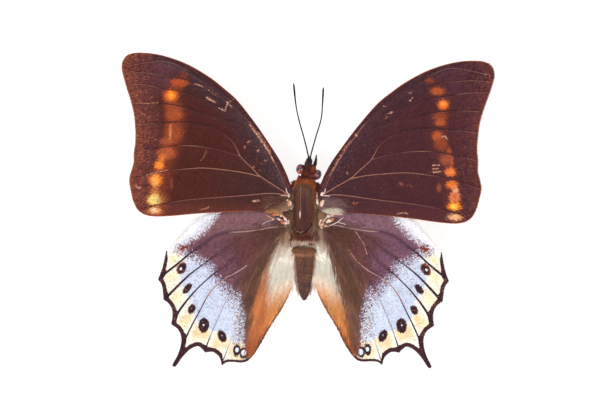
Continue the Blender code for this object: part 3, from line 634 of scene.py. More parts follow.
FORE_SCRATCHES = {
    "left": [
        ([(29.3, 31.5), (28.0, 31.2), (26.8, 30.6)], 0.2, 0.7),
        ([(26.1, 28.0), (24.7, 27.3), (24.0, 26.9)], 0.35, 0.8),
        ([(25.7, 30.0), (23.3, 28.4)], 0.2, 0.55),
        ([(22.8, 25.4), (21.2, 24.7), (20.6, 27.0)], 0.17, 1.0),
        ([(20.9, 27.1), (19.5, 25.7)], 0.17, 0.8), ([(19.2, 27.8), (20.3, 27.0)], 0.15, 0.7),
        ([(14.8, 21.3), (14.1, 20.4), (11.6, 17.2), (9.5, 14.3), (8.2, 11.8)], 0.2, 0.9),
        ([(12.4, 19.2), (10.6, 16.3), (9.4, 14.6)], 0.5, 0.55),
        ([(25.6, 14.5), (26.5, 12.5), (27.3, 11.6)], 0.13, 0.6),
        ([(15.9, 15.5), (15.7, 15.3)], 0.35, 0.6), ([(14.6, 17.0), (15.2, 16.6)], 0.3, 0.6),
        ([(12.3, 14.7), (12.5, 14.6)], 0.35, 0.7), ([(12.6, 12.6), (12.7, 12.4)], 0.25, 0.5),
        ([(10.3, 12.2), (10.5, 12.1)], 0.3, 0.6), ([(11.7, 9.6), (11.9, 9.5)], 0.25, 0.6),
        ([(13.7, 10.6), (13.4, 10.3)], 0.3, 0.6), ([(27.0, -1.2), (25.8, -0.9), (24.8, -0.4)], 0.2, 0.7),
        ([(13.3, 1.5), (11.8, 1.7)], 0.35, 0.7), ([(10.3, -0.2), (9.0, 0.4), (7.6, 1.2)], 0.35, 0.7),
        ([(43.9, 4.7), (43.0, 4.0), (42.7, 4.2)], 0.3, 0.7),
        ([(42.0, 7.2), (39.2, 8.1), (35.3, 9.0)], 0.22, 0.7),
        ([(43.8, 26.3), (41.2, 26.1), (38.4, 26.5)], 0.2, 0.6),
        ([(43.3, 24.0), (41.4, 22.7), (40.6, 22.4)], 0.14, 0.6),
    ],
    "right": [
        ([(26.9, 30.6), (26.0, 30.4)], 0.18, 0.9), ([(27.2, 29.2), (26.4, 28.4)], 0.25, 0.8),
        ([(20.1, 26.7), (19.6, 26.9)], 0.2, 0.8), ([(21.9, 25.4), (21.0, 24.9)], 0.25, 0.8),
        ([(20.9, 24.2), (20.2, 23.9)], 0.3, 0.5), ([(12.7, 19.3), (12.9, 19.0)], 0.3, 0.9),
        ([(11.5, 17.9), (8.7, 13.2), (6.0, 8.4)], 0.16, 0.8),
        ([(10.2, 16.2), (8.6, 13.4), (7.6, 11.4)], 0.35, 0.55), ([(32.9, 11.8), (34.6, 11.9)], 0.2, 1.0),
        ([(32.9, 10.9), (34.2, 11.0)], 0.2, 1.0), ([(32.9, 10.0), (34.9, 10.2)], 0.2, 0.9),
        ([(35.1, 19.3), (35.8, 19.5), (36.4, 18.8)], 0.25, 0.9),
        ([(24.0, -1.0), (25.6, -0.6), (26.6, -0.9)], 0.2, 0.8), ([(13.5, 1.6), (12.4, 1.5)], 0.2, 0.6),
        ([(39.6, -1.0), (41.2, -1.6), (42.2, -1.0)], 0.3, 0.4), ([(46.6, 35.8), (45.8, 35.6)], 0.3, 0.6),
        ([(10.6, 9.4), (10.9, 9.2)], 0.3, 0.7), ([(27.4, 6.2), (24.6, 6.6)], 0.6, 0.25),
    ],
}
FORE_RUBBED = {"left": 0.42, "right": 0.11}


def fore_upper(wing, side):
    points, away, front, outer, veins = wing.points, wing.away, wing.front_gap, wing.outer_gap, wing.veined
    x, y = points.T
    pinstripe = 0.5 + 0.5 * np.sin(front * 9.0)
    band_gap, along, band_side = nearest(smooth_run(FORE_BAND, 0.4), points)
    offset = band_gap * band_side
    lower = ramp(along, 0.2, 0.34)
    inner_glow = ramp(offset, -2.4 - 2.6 * lower, -0.6) * ramp(offset, 2.6, 0.8) * ramp(along, 0.0, 0.12)
    ground = layered(
        plain(points, 78, 33, 29),
        (69, 38, 35, ramp(away, 26, 8)),
        (70, 47, 51, ramp(front, 8.0, 2.0) * ramp(x, 40, 28)),
        (98, 54, 62, ramp(front, 12, 5) * ramp(x, 30, 38)),
        (68, 44, 50, ramp(front, 2.7, 1.2) * ramp(x, 46, 40) * ramp(x, 8, 14)),
        (104, 80, 86, pinstripe * ramp(front, 2.6, 2.2) * ramp(front, 0.9, 1.2) * 0.45),
        (88, 42, 40, ramp(front, 1.0, 0.4) * ramp(x, 40, 30)),
        (104, 54, 52, ramp(outer, 9, 4) * 0.85),
        (134, 70, 52, ramp(outer, 3.4, 0.8) * 0.55),
        (100, 48, 40, ramp(y, 2.2, -1.6) * 0.9),
        (120, 80, 62, ramp(away, 8, 3.5) * ramp(y, 3.4, 1.6)),
        (70, 34, 32, ramp(veins["least"], 0.7, 0.1) * 0.35),
        (134, 60, 36, inner_glow * (0.8 if side == "left" else 0.5)),
    )
    if side == "right":
        ground = layered(ground, (76, 40, 50, 0.55)) * 0.95
    beyond = ground
    zone = np.zeros(len(points))
    ragged = np.sin(6.1 * y + 1.7 * x) * np.sin(3.3 * x - 2.2 * y + 1.0) + 0.7 * np.sin(11.0 * y - 4.0 * x)
    for patch_x, patch_y, half_x, half_y, shade, strength in FORE_PATCHES[side]:
        reach = np.hypot((x - patch_x) / half_x, (y - patch_y) / half_y) * (1 + 0.16 * ragged)
        share = strength * np.exp(-(reach**3.2) * 0.62)
        beyond = layered(beyond, (*shade, share * 1.15))
        zone = np.maximum(zone, share)
    clear_of_veins = ramp(veins["least"], 0.0, 0.3)
    ground = blend(ground, beyond, ramp(zone, 0.0, 0.6) * 0.5 * clear_of_veins)
    zone = ramp(zone, 0.05, 0.8) * clear_of_veins
    flecks = 0.5 + 0.5 * np.sin(1.9 * x + 1.1 * y) * np.sin(1.3 * y - 0.7 * x + 2.0)
    rubbed = FORE_RUBBED[side] * ramp(outer, 8, 1) * (0.2 + 0.8 * flecks)
    rubbed = rubbed * (0.4 + 0.6 * np.sin(0.6 * y + 0.5) ** 2)
    cell_wear = 0.04 * ramp(front, 7, 3) * ramp(away, 24, 12)
    worn = np.max([rubbed, cell_wear, worn_along(points, FORE_SCRATCHES[side])], axis=0).clip(min=0.003)
    mottle = 0.16 + 0.26 * ramp(outer, 9, 4) + 0.2 * ramp(front, 9, 4)
    hem = wing.margin_gap - 0.15 * ramp(x, 8, 24)
    return markings(ground, beyond, zone, 0.9, worn, veins, hem, mottle=mottle)


# %% [markdown]
# ### Hind wing, upper side
#
# Plum and brown near the body, pale blue and white beyond, cream towards the scalloped border, which is
# nearly black. A row of dark spots with pale pupils follows the border. Along the belly the wing is
# covered in long hair, cream, orange and brown, and the skin under it has the same colours.

# %% Hind wing, upper side
DISC_EDGE = [
    (21.6, 2.6), (23.2, -0.6), (24.3, -3.0), (26.2, -5.1), (28.2, -7.2), (30.1, -8.7), (32.2, -10.1),
    (32.7, -10.8), (32.0, -11.4), (30.0, -11.7), (28.4, -12.6), (27.4, -13.5), (25.4, -14.3),
    (23.9, -15.2), (23.5, -17.3), (21.9, -18.8), (20.6, -20.3), (19.0, -21.5), (17.9, -22.1),
    (16.7, -23.6), (15.6, -25.6), (14.9, -28.0), (14.6, -31.5), (14.4, -34.0),
]
HAIR_EDGE = [
    (5.5, -6.0), (9.0, -9.5), (12.0, -12.5), (14.6, -16.5), (15.9, -20.0), (15.6, -23.0), (14.8, -26.3),
    (14.7, -29.0), (14.8, -32.0), (14.9, -36.0), (14.4, -39.5),
]
# Where brown hair gives way to tan, and tan to cream, on the way in to the belly
BROWN_LINES = {
    "left": [(5.9, -5.0), (7.6, -8.4), (9.0, -12.3), (10.4, -15.7), (11.8, -20.3), (12.6, -24.5),
             (13.1, -28.8), (13.7, -32.4), (14.3, -35.3), (14.2, -38.6)],
    "right": [(4.9, -5.5), (6.9, -14.0), (8.2, -17.3), (9.5, -22.1), (10.7, -26.3), (11.6, -29.1),
              (12.8, -34.2), (13.4, -38.6)],
}
CREAM_LINES = {
    "left": [(5.0, -5.5), (6.9, -9.5), (8.2, -12.3), (8.6, -14.6), (8.8, -19.1), (9.1, -21.9),
             (9.4, -30.0)],
    "right": [(4.8, -5.5), (6.0, -9.5), (7.4, -14.0), (8.6, -17.3), (9.7, -22.1), (10.9, -26.3),
              (12.4, -34.2)],
}
# Spots: place, half length, half width, lean, then the pupil's radius and its place from the spot's middle
HIND_SPOTS = [
    (31.7, -15.8, 1.75, 1.2, 30, 0.3, (0.2, -0.2)),
    (30.1, -21.0, 1.65, 0.85, 38, 0.0, (0, 0)),
    (28.9, -26.4, 1.35, 0.95, 25, 0.0, (0, 0)),
    (25.7, -30.6, 2.0, 1.4, 5, 0.2, (0.05, 0.05)),
    (20.9, -33.4, 1.7, 1.1, -25, 0.1, (0, 0.2)),
    (17.0, -37.0, 1.6, 0.95, 5, 0.45, (-0.05, 0.1)),
    (15.2, -37.6, 1.55, 1.1, 10, 0.62, (0.0, -0.05)),
    (31.5, -10.6, 1.0, 0.55, 58, 0.0, (0, 0)),
]
HIND_SCRATCHES = {
    "left": [([(20.4, -18.1), (17.3, -16.5), (14.7, -14.8)], 0.12, 1.0)],
    "right": [
        ([(10.9, -9.6), (11.7, -11.3), (13.7, -13.9), (16.4, -16.2), (18.7, -17.4)], 0.1, 1.0),
        ([(13.3, -6.3), (14.6, -8.2), (15.6, -9.6), (16.4, -12.2)], 0.1, 1.0),
    ],
}
PEACH_PATCHES = [
    (29.6, -28.9, 1.3), (27.9, -32.6, 1.5), (25.0, -33.8, 1.2), (22.3, -35.6, 1.3), (19.4, -37.2, 1.0),
]
YELLOW_PATCHES = [(33.6, -13.6, 1.4), (34.7, -17.5, 1.7), (33.2, -23.3, 1.6), (31.3, -30.0, 1.4)]


def towards_belly(points, line):
    """Distance from a line that runs to the rear, positive on the belly's side."""
    distance, _, side = nearest(smooth_run(line, 0.5), points)
    return -distance * side


def hair_ground(points, side):
    """The colour of the long hair on the hind wing: brown, tan, then cream that turns orange behind."""
    x, y = points.T
    around = np.arctan2(x - 1.0, 2.0 - y)
    streak = 0.5 * np.sin(around * 95) + 0.3 * np.sin(around * 171 + 1.0)
    streak = streak + 0.2 * np.sin(around * 313 + 0.3 * y)
    past_brown = towards_belly(points, BROWN_LINES[side]) + 0.6 * streak
    past_tan = towards_belly(points, CREAM_LINES[side]) + 0.5 * streak
    brown = layered(plain(points, 122, 80, 64), (140, 96, 78, ramp(y, -16, -34)),
                    (84, 54, 44, ramp(streak, 0.2, 0.8) * 0.6),
                    (152, 122, 106, ramp(streak, -0.7, -1.3) * 0.6))
    tan = layered(plain(points, 184, 138, 106), (224, 136, 80, ramp(y + streak, -14, -21)),
                  (194, 98, 50, ramp(y, -27, -37) * 0.8))
    cream = layered(plain(points, 196, 152, 122), (255, 243, 224, ramp(y + 1.6 * streak, -5.0, -11.0)),
                    (255, 252, 244, ramp(streak, 0.1, 0.9) * ramp(y, -9, -12) * 0.6))
    orange = layered(plain(points, 255, 168, 98), (224, 120, 58, ramp(y, -26, -35)),
                     (112, 62, 46, ramp(y + 0.5 * streak, -34.6, -37.0)))
    pale = blend(cream, orange, ramp(y + 0.3 * (x - 5) + 1.2 * streak, -17.0, -23.6))
    colour = blend(brown, tan, ramp(past_brown, -0.5, 0.6))
    colour = blend(colour, pale, ramp(past_tan, -0.5, 0.8) * ramp(past_brown, -0.8, 0.2))
    return colour * (1 + 0.09 * streak)[:, None]


def hind_pattern(wing):
    """Distances that both sides of the hind wing use."""
    points = wing.points
    x, y = points.T
    disc_line = smooth_run(DISC_EDGE, 0.4)
    loop = np.vstack([disc_line, [(-5.0, -34.0), (-5.0, 4.0)]])
    past_disc = nearest(disc_line, points)[0] * np.where(inside(loop, points), -1, 1)
    border = 0.12 + 0.7 * ramp(y, -10.8, -14.0) + 0.2 * ramp(y, -14, -17)
    border = border + 0.35 * ramp(wing.veined["least"], 1.2, 0.1) * ramp(y, -15, -18)
    border = np.where(x < 20.6, np.where(y < -36, 0.6, border), border)
    tail = nearest(np.array([(31.2, -36.6), (33.6, -41.6)]), points)[0]
    hem = np.min([wing.outer_gap - border, wing.rear_gap - 0.2 * ramp(y, -20, -27), tail - 0.9], axis=0)
    spots = [spot_distance(points, *spot[:5]) for spot in HIND_SPOTS]
    pupils = [spot_distance(points, spot_x + aside, spot_y + above, radius * 1.25, radius, lean)
              for spot_x, spot_y, _, _, lean, radius, (aside, above) in HIND_SPOTS if radius]
    angle = np.degrees(np.arctan2(-(y + 4.0), x - 4.0))
    return past_disc, hem, np.min(spots, axis=0).clip(max=9.0), np.min(pupils, axis=0).clip(max=9.0), angle


def hind_upper(wing, side):
    points, away, outer, vein_gap = wing.points, wing.away, wing.outer_gap, wing.veined["least"]
    x, y = points.T
    past_disc, hem, spot, pupil, angle = hind_pattern(wing)
    past_hair = towards_belly(points, HAIR_EDGE)
    brown_from = (44, 58) if side == "left" else (34, 50)
    brown_share = np.maximum(ramp(angle, *brown_from) * ramp(past_disc, -1.5, -4), ramp(away, 15, 8))
    plum = paint(114, 74, 86) if side == "left" else paint(116, 78, 98)
    ground = blend(plain(points, 104, 62, 62), plum, ramp(past_disc, -9, -4))
    ground = blend(ground, plum * 1.2, ramp(past_disc, -4, -0.5) * ramp(angle, 50, 30) * 0.6)
    ground = layered(
        ground,
        (102, 60, 54, brown_share),
        (*((136, 98, 110) if side == "right" else (134, 94, 98)), ramp(angle, 17, 2)),
        (84, 52, 66, ramp(vein_gap, 0.9, 0.1) * ramp(past_disc, -12, -4) * 0.75),
        (116, 52, 44, ramp(x + 0.5 * y, 24.2, 26.0) * ramp(angle, 9, 12) * ramp(angle, 19, 16)),
        (*((118, 84, 66) if side == "left" else (158, 122, 92)), ramp(away, 4.6, 2.6)),
    )
    hair_from = -2.4 + 1.6 * ramp(y, -19, -24)
    ground = blend(ground, hair_ground(points, side), ramp(past_hair, hair_from, 1.2) * ramp(y, -3, -7))
    ground = layered(ground, (150, 72, 52, glow(points, 14.0, -36.8, 1.2)))
    middle_of_panel = ramp(vein_gap, 0.2, 1.3)
    beyond = layered(
        plain(points, 255, 253, 253),
        (212, 221, 243, ramp(angle, 13, 24) * ramp(outer, 3.6, 5.8)),
        (206, 204, 228, ramp(past_disc, 2.2, 0.3) * 0.5),
        (232, 234, 240, ramp(x, 20, 16) * 0.7),
        (204, 212, 238, ramp(vein_gap, 1.0, 0.2) * ramp(outer, 4.0, 6.0) * 0.35),
        (255, 250, 236, ramp(outer, 5.8, 4.4) * ramp(angle, 16, 24)),
        *[(253, 236, 180, glow(points, spot_x, spot_y, radius * 1.2) * middle_of_panel * 0.85)
          for spot_x, spot_y, radius in YELLOW_PATCHES],
        *[(252, 216, 160, glow(points, spot_x, spot_y, radius * 1.15) * middle_of_panel * 0.9)
          for spot_x, spot_y, radius in PEACH_PATCHES],
        (252, 214, 162, ramp(spot, 1.4, 0.4) * ramp(outer, 5.4, 4.4) * ramp(y, -27, -30) * 0.6),
    )
    ragged = ramp(angle, 40, 58)
    crisp = ramp(angle, 14, 8)
    stray = ramp(past_disc, 2.8 + 4.4 * ragged, 0.2) * (0.24 + 0.1 * ragged)
    stray = stray + 0.3 * glow(points, 29.7, -12.9, 0.8)
    stray = np.maximum(stray, 0.12 * ramp(outer, 4.4, 5.4)) * (1 - 0.7 * crisp)
    zone = ramp(past_disc, -2.6 - 1.2 * ragged, 2.0 + 1.6 * ragged - 0.9 * crisp) * (1 - stray)
    zone = zone * ramp(past_hair, 0.5, -0.5)
    rim_of_first_spot = ramp(x, 30, 31.5) * ramp(y, -18, -16) * ramp(spot, -0.45, -0.1)
    rust_glows = glow(points, 14.1, -36.6, 1.1), 0.6 * glow(points, 31.5, -10.6, 1.6)
    rust = np.max([*rust_glows, rim_of_first_spot], axis=0)
    dusty = 0.004 + 0.07 * ramp(past_disc, -9, -1) * ramp(angle, 12, 20) * ramp(angle, 56, 40)
    worn = np.maximum(worn_along(points, HIND_SCRATCHES[side]), dusty)
    mottle = 0.1 + 0.2 * (1 - zone)
    return markings(ground, beyond, zone, 0.75, worn, wing.veined, hem, spot, pupil, rust, mottle)


# %% [markdown]
# ### The under sides
#
# The picture doesn't show them. Species of this group are warm brown below, with dark cross bars edged in
# pale scales, an ochre band where the orange one is above, and the hind wing's spots and border showing
# through. The bars are short lines, and the distance from the nearest one makes both the bar and its pale
# edge.

# %% Under sides
FORE_BARS = [
    [(8.6, 8.8), (9.6, 6.9)], [(12.4, 14.2), (14.6, 11.2)], [(15.2, 19.2), (18.2, 16.8)],
    [(18.6, 25.0), (17.0, 21.2)], [(13.8, 7.6), (13.2, 3.6)], [(20.4, 17.6), (20.6, 13.4)],
    [(22.0, 14.0), (22.6, 9.8)], [(21.4, 9.2), (20.6, 3.0)], [(26.4, 30.6), (25.8, 26.6), (25.8, 23.6)],
    [(26.6, 23.4), (27.6, 20.6)], [(28.4, 20.4), (28.2, 15.6)], [(29.4, 15.0), (29.0, 9.8)],
    [(28.8, 9.2), (28.2, 2.0)],
]
HIND_BARS = [
    [(9.2, -1.4), (10.0, -5.0)], [(13.6, -0.8), (13.4, -5.6)], [(19.4, -0.4), (18.6, -6.2)],
    [(12.2, -6.2), (9.0, -9.2)], [(16.0, -9.4), (12.6, -12.6)],
    [(22.0, -7.0), (19.8, -10.2), (19.4, -14.0)], [(19.0, -14.8), (17.0, -17.2)],
    [(16.6, -18.0), (13.6, -19.2)], [(24.6, -8.4), (24.6, -13.4)], [(23.8, -14.0), (22.4, -18.0)],
    [(21.8, -19.4), (19.4, -22.6)], [(18.8, -23.4), (15.4, -25.4)], [(12.4, -18.6), (9.6, -19.6)],
]


def bar_distance(points, bars, half_width):
    return np.min([nearest(np.array(bar, float), points)[0] for bar in bars], axis=0) - half_width


def brown_veins(veins):
    """The veins as they look below: plain brown lines."""
    return {**veins, "tint": np.tile([*paint(96, 58, 42), 0.7], (len(veins["least"]), 1))}


def fore_lower(wing):
    points = wing.points
    bars = bar_distance(points, FORE_BARS, 0.45)
    ground = layered(plain(points, 150, 98, 68), (168, 112, 76, ramp(wing.outer_gap, 16, 8)),
                     (138, 94, 78, ramp(points[:, 1], 4, -1)), (212, 178, 150, ramp(bars, 0.75, 0.35) * 0.85))
    band_gap = nearest(smooth_run(FORE_BAND, 0.4), points)[0]
    corner = spot_distance(points, 39.6, 1.4, 1.3, 0.9, 0)
    return markings(ground, plain(points, 214, 158, 96), ramp(band_gap, 2.4, 1.2), 0.7, 0.01,
                    brown_veins(wing.veined), wing.margin_gap - 0.2, np.minimum(bars, corner))


def hind_lower(wing):
    points = wing.points
    past_disc, hem, spot, pupil, angle = hind_pattern(wing)
    bars = bar_distance(points, HIND_BARS, 0.4)
    ground = layered(plain(points, 146, 98, 72), (170, 128, 100, ramp(angle, 50, 80)),
                     (226, 206, 184, ramp(bars, 0.8, 0.3) * 0.85))
    beyond = layered(plain(points, 232, 220, 206), (240, 214, 164, ramp(wing.outer_gap, 5.6, 4.0)))
    return markings(ground, beyond, ramp(past_disc, -1.5, 1.5), 0.9, 0.03, brown_veins(wing.veined), hem,
                    np.minimum(bars, spot), pupil)


print("bars below:", len(FORE_BARS), "and", len(HIND_BARS))

# %% [markdown]
# ## Wiring a shader
#
# A material's look is a chain of small nodes. This helper adds one node and wires its inputs in one call,
# so a chain reads like a recipe. Effects that several materials use are node groups, built once.


# %% A helper for shader nodes
class Recipe:
    """Adds nodes to a tree. Each call is one step, and takes sockets or plain values."""

    def __init__(self, tree):
        self.tree = tree

    def feed(self, socket, value):
        if isinstance(value, bpy.types.NodeSocket):
            self.tree.links.new(value, socket)
        else:
            socket.default_value = value

    def add(self, kind, feeds=(), **settings):
        node = self.tree.nodes.new("ShaderNode" + kind)
        for name, value in settings.items():
            setattr(node, name, value)
        for socket, value in dict(feeds).items():
            self.feed(node.inputs[socket], value)
        return node

    def sum(self, operation, *values):
        return self.add("Math", enumerate(values), operation=operation).outputs[0]

    def mix(self, share, first, second, way="MIX"):
        feeds = {"Factor": share, 6: first, 7: second}
        return self.add("Mix", feeds, data_type="RGBA", blend_type=way, clamp_factor=True).outputs[2]

    def dim(self, colour, share):
        grey = self.add("CombineColor", {0: share, 1: share, 2: share}).outputs[0]
        return self.mix(1.0, colour, grey, "MULTIPLY")

    def ease(self, value, start, end):
        feeds = {"Value": value, "From Min": start, "From Max": end}
        return self.add("MapRange", feeds, interpolation_type="SMOOTHSTEP").outputs[0]

    def read(self, name):
        return self.add("Attribute", attribute_name=name, attribute_type="GEOMETRY").outputs

    def split(self, name):
        return self.add("SeparateXYZ", {0: self.read(name)["Vector"]}).outputs

    def place(self):
        return self.add("TexCoord").outputs["Object"]

    def noise(self, scale, detail=2.0, roughness=0.5):
        feeds = {"Vector": self.place(), "Scale": scale, "Detail": detail, "Roughness": roughness}
        return self.add("TexNoise", feeds).outputs[0]

    def bump(self, shader, height, strength, depth, **settings):
        relief = self.add("Bump", {"Strength": strength, "Distance": depth, "Height": height}, **settings)
        self.feed(shader["Normal"], relief.outputs[0])


def new_group(name, inputs, outputs):
    """An empty node group with named sockets, as a recipe, its inputs and its outputs."""
    tree = bpy.data.node_groups.new(name, "ShaderNodeTree")
    for label, kind, value in inputs:
        socket = tree.interface.new_socket(label, in_out="INPUT", socket_type="NodeSocket" + kind)
        socket.default_value = value
    for label, kind in outputs:
        tree.interface.new_socket(label, in_out="OUTPUT", socket_type="NodeSocket" + kind)
    return Recipe(tree), tree.nodes.new("NodeGroupInput").outputs, tree.nodes.new("NodeGroupOutput").inputs


def new_material(name, roughness, specular, **more):
    """A material with its uniform values on the shader, a recipe for its nodes, and the shader's inputs."""
    material = bpy.data.materials.new(name)
    material.use_nodes = True
    shader = material.node_tree.nodes["Principled BSDF"]
    set_inputs(shader, {"Roughness": roughness, "Specular IOR Level": specular})
    set_inputs(shader, {label.replace("_", " ").title(): value for label, value in more.items()})
    return material, Recipe(material.node_tree), shader.inputs


def tinted_material(name, roughness, specular, **more):
    """The same, with the colour that each point of the mesh carries."""
    material, recipe, shader = new_material(name, roughness, specular, **more)
    recipe.feed(shader["Base Color"], recipe.read("tint")["Color"])
    return material, recipe, shader


def shell_material(name, roughness, specular, grain, depth, strength=0.4):
    """A hard shell of the points' colours with a fine grain."""
    material, recipe, shader = tinted_material(name, roughness, specular)
    recipe.bump(shader, recipe.noise(grain), strength, depth)
    return material


def opaque(red, green, blue):
    """A colour as a socket takes it."""
    return (*paint(red, green, blue), 1.0)


# %% [markdown]
# ### Scales
#
# The scales lie like tiles, longer than wide. A Voronoi texture gives each one two random numbers, a die
# and a tone. The die settles which colour a scale has near an edge between two, and whether it is worn.
# The group also gives a relief for the bump.

# %% The scales group
SCALES_PER_METRE = 5400.0
SCALE_LENGTH = 1.5  # of a scale's width

scales, scales_in, scales_out = new_group(
    "wing_scales",
    [("Scales per metre", "Float", SCALES_PER_METRE), ("Length", "Float", SCALE_LENGTH)],
    [("Die", "Float"), ("Tone", "Float"), ("Relief", "Float")],
)
shrink = scales.sum("DIVIDE", 1.0, scales_in["Length"])
squeeze = scales.add("CombineXYZ", {"X": shrink, "Y": 1.0, "Z": 1.0}).outputs[0]
stretched = scales.add("VectorMath", {0: scales.place(), 1: squeeze}, operation="MULTIPLY").outputs[0]
tile_feeds = {"Vector": stretched, "Scale": scales_in["Scales per metre"], "Randomness": 0.9}
tiles = scales.add("TexVoronoi", tile_feeds).outputs
throws = scales.add("SeparateColor", {0: tiles["Color"]}).outputs
scales.feed(scales_out["Die"], throws["Red"])
scales.feed(scales_out["Tone"], throws["Blue"])
scales.feed(scales_out["Relief"], scales.sum("SUBTRACT", 1.0, tiles["Distance"]))
print("group:", scales.tree.name)

# %% [markdown]
# ### Markings from the numbers
#
# The group reads the wing's numbers and puts the colours down in the order that they lie: ground, the colour
# beyond, borders, veins, spots, pupils, and wear over all of them. Each edge is a threshold that every scale
# crosses by its own die.

# %% The markings group
MARK_TONES = {
    "Border": (66, 36, 38), "Spot": (56, 30, 34), "Rust": (150, 70, 48), "Pupil": (226, 236, 252),
    "Worn dull": (176, 96, 66), "Worn pale": (240, 198, 176),
}
marks, marks_in, marks_out = new_group(
    "wing_markings",
    [("Scales per metre", "Float", SCALES_PER_METRE),
     *[(label, "Color", opaque(*shade)) for label, shade in MARK_TONES.items()]],
    [("Color", "Color"), ("Height", "Float"), ("Worn", "Float")],
)
# The covering scales, the rubbed ones, and clumps of scales that share their look
cover, rubs, clumps = (
    marks.add("Group", {"Scales per metre": density, "Length": length}, node_tree=scales.tree).outputs
    for density, length in ((marks_in["Scales per metre"], SCALE_LENGTH), (6200.0, 1.8), (3100.0, 1.2))
)
centred = marks.sum("SUBTRACT", cover["Die"], 0.5)


def edge_mask(distance, grain, start, end):
    """1 inside a distance and 0 beyond it, with a grainy edge."""
    return marks.ease(marks.sum("MULTIPLY_ADD", centred, grain, distance), start, end)


zone, grain, worn = marks.split("zone")
wave = marks.sum("MULTIPLY", marks.sum("SUBTRACT", clumps["Die"], 0.5), 0.75)
spread = marks.sum("MULTIPLY", marks.sum("ADD", centred, wave), grain)
past = marks.ease(marks.sum("ADD", zone, spread), 0.3, 0.7)
colour = marks.mix(past, marks.read("ground")["Color"], marks.read("beyond")["Color"])

tone = marks.sum("MULTIPLY_ADD", cover["Tone"], 0.26, 0.87)
drift = marks.sum("MULTIPLY_ADD", marks.noise(420.0, 3.0), 0.36, 0.82)
shade = marks.sum("MULTIPLY", tone, drift)
shade = marks.sum("MULTIPLY", shade, marks.sum("MULTIPLY_ADD", clumps["Tone"], 0.2, 0.9))
colour = marks.dim(colour, shade)

hem, mottle, _ = marks.split("hem")
blotch = marks.ease(marks.noise(1300.0, 4.0, 0.65), 0.42, 0.66)
colour = marks.dim(colour, marks.sum("SUBTRACT", 1.0, marks.sum("MULTIPLY", blotch, mottle)))
colour = marks.mix(edge_mask(hem, 0.16, 0.07, -0.05), colour, marks_in["Border"])

signed, least, width = marks.split("veins")
line = marks.sum("MAXIMUM", marks.sum("ABSOLUTE", signed), marks.sum("SUBTRACT", least, 0.09))
line = marks.sum("SUBTRACT", marks.sum("MULTIPLY_ADD", centred, 0.07, line), width)
tint = marks.read("vein_tint")
colour = marks.mix(marks.sum("MULTIPLY", marks.ease(line, 0.05, -0.05), tint["Alpha"]), colour, tint["Color"])

spot, pupil, rust = marks.split("spots")
spot_colour = marks.mix(rust, marks_in["Spot"], marks_in["Rust"])
colour = marks.mix(edge_mask(spot, 0.3, 0.06, -0.06), colour, spot_colour)
colour = marks.mix(edge_mask(pupil, 0.2, 0.1, -0.08), colour, marks_in["Pupil"])

worn_mask = marks.ease(marks.sum("SUBTRACT", worn, rubs["Die"]), -0.03, 0.05)
worn_share = marks.sum("MULTIPLY", worn_mask, marks.sum("MULTIPLY_ADD", rubs["Tone"], 0.5, 0.45))
paleness = marks.sum("MULTIPLY_ADD", rubs["Tone"], 0.6, 0.5)
rubbed_pale = marks.sum("MULTIPLY", marks.ease(worn, 0.3, 0.8), paleness)
rubbed_colour = marks.mix(rubbed_pale, marks_in["Worn dull"], marks_in["Worn pale"])

marks.feed(marks_out["Color"], marks.mix(worn_share, colour, rubbed_colour))
marks.feed(marks_out["Worn"], worn_share)
unworn_share = marks.sum("SUBTRACT", 1.0, worn_share)
marks.feed(marks_out["Height"], marks.sum("MULTIPLY", cover["Relief"], unworn_share))
print("group:", marks.tree.name)


# %% The wings' materials
def wing_material(name, roughness, specular, feeds):
    material, recipe, shader = new_material(name, roughness, specular)
    pattern = recipe.add("Group", feeds, node_tree=marks.tree).outputs
    recipe.feed(shader["Base Color"], pattern["Color"])
    recipe.feed(shader["Roughness"], recipe.sum("MULTIPLY_ADD", pattern["Worn"], -0.2, roughness))
    recipe.bump(shader, pattern["Height"], 0.35, 0.00003)
    return material


fore_tones = {"Border": opaque(172, 90, 52), "Spot": opaque(62, 36, 28)}
fore_material = wing_material("fore_wing_scales", 0.6, 0.1, fore_tones)
hind_material = wing_material("hind_wing_scales", 0.65, 0.1, {
    "Scales per metre": 7200.0, "Border": opaque(66, 36, 40), "Worn dull": opaque(170, 118, 108),
    "Worn pale": opaque(214, 170, 152),
})
print("wing materials:", fore_material.name, hind_material.name)

# %% [markdown]
# ## Setting the wings
#
# Each drawing is used twice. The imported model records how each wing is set, a slight turn about its
# hinge and a small slide, and the left one is mirrored. A mirrored mesh is inside out, so its faces are
# turned back.

# %% Making the four wings
# How each wing is set: its turn about the hinge in degrees, and its slide
SETTINGS = {
    "forewing": {"right": (-0.35, (0.0, 0.0)), "left": (0.5, (0.25, 0.0))},
    "hindwing": {"right": (0.0, (-0.1, 0.4)), "left": (0.0, (0.2, -0.4))},
}
OUTWARDS = {"left": -1, "right": 1}


def set_out(points, wing, side):
    """Drawn points where the wing was set, mirrored for the left side. Heights are left as they are."""
    turn, slide = SETTINGS[wing.name][side]
    angle = math.radians(turn)
    away = points[:, :2] - wing.hinge
    spin = np.array([[math.cos(angle), math.sin(angle)], [-math.sin(angle), math.cos(angle)]])
    placed = (away @ spin + wing.hinge + np.array(slide)) * np.array([OUTWARDS[side], 1])
    return np.column_stack([placed, points[:, 2:]])


def store(mesh, name, values):
    """Keeps one row of numbers for each point of a mesh, as a colour or as a vector."""
    kind, field = ("FLOAT_COLOR", "color") if values.shape[1] == 4 else ("FLOAT_VECTOR", "vector")
    attribute = mesh.attributes.new(name, kind, "POINT")
    attribute.data.foreach_set(field, values.astype(np.float32).ravel())


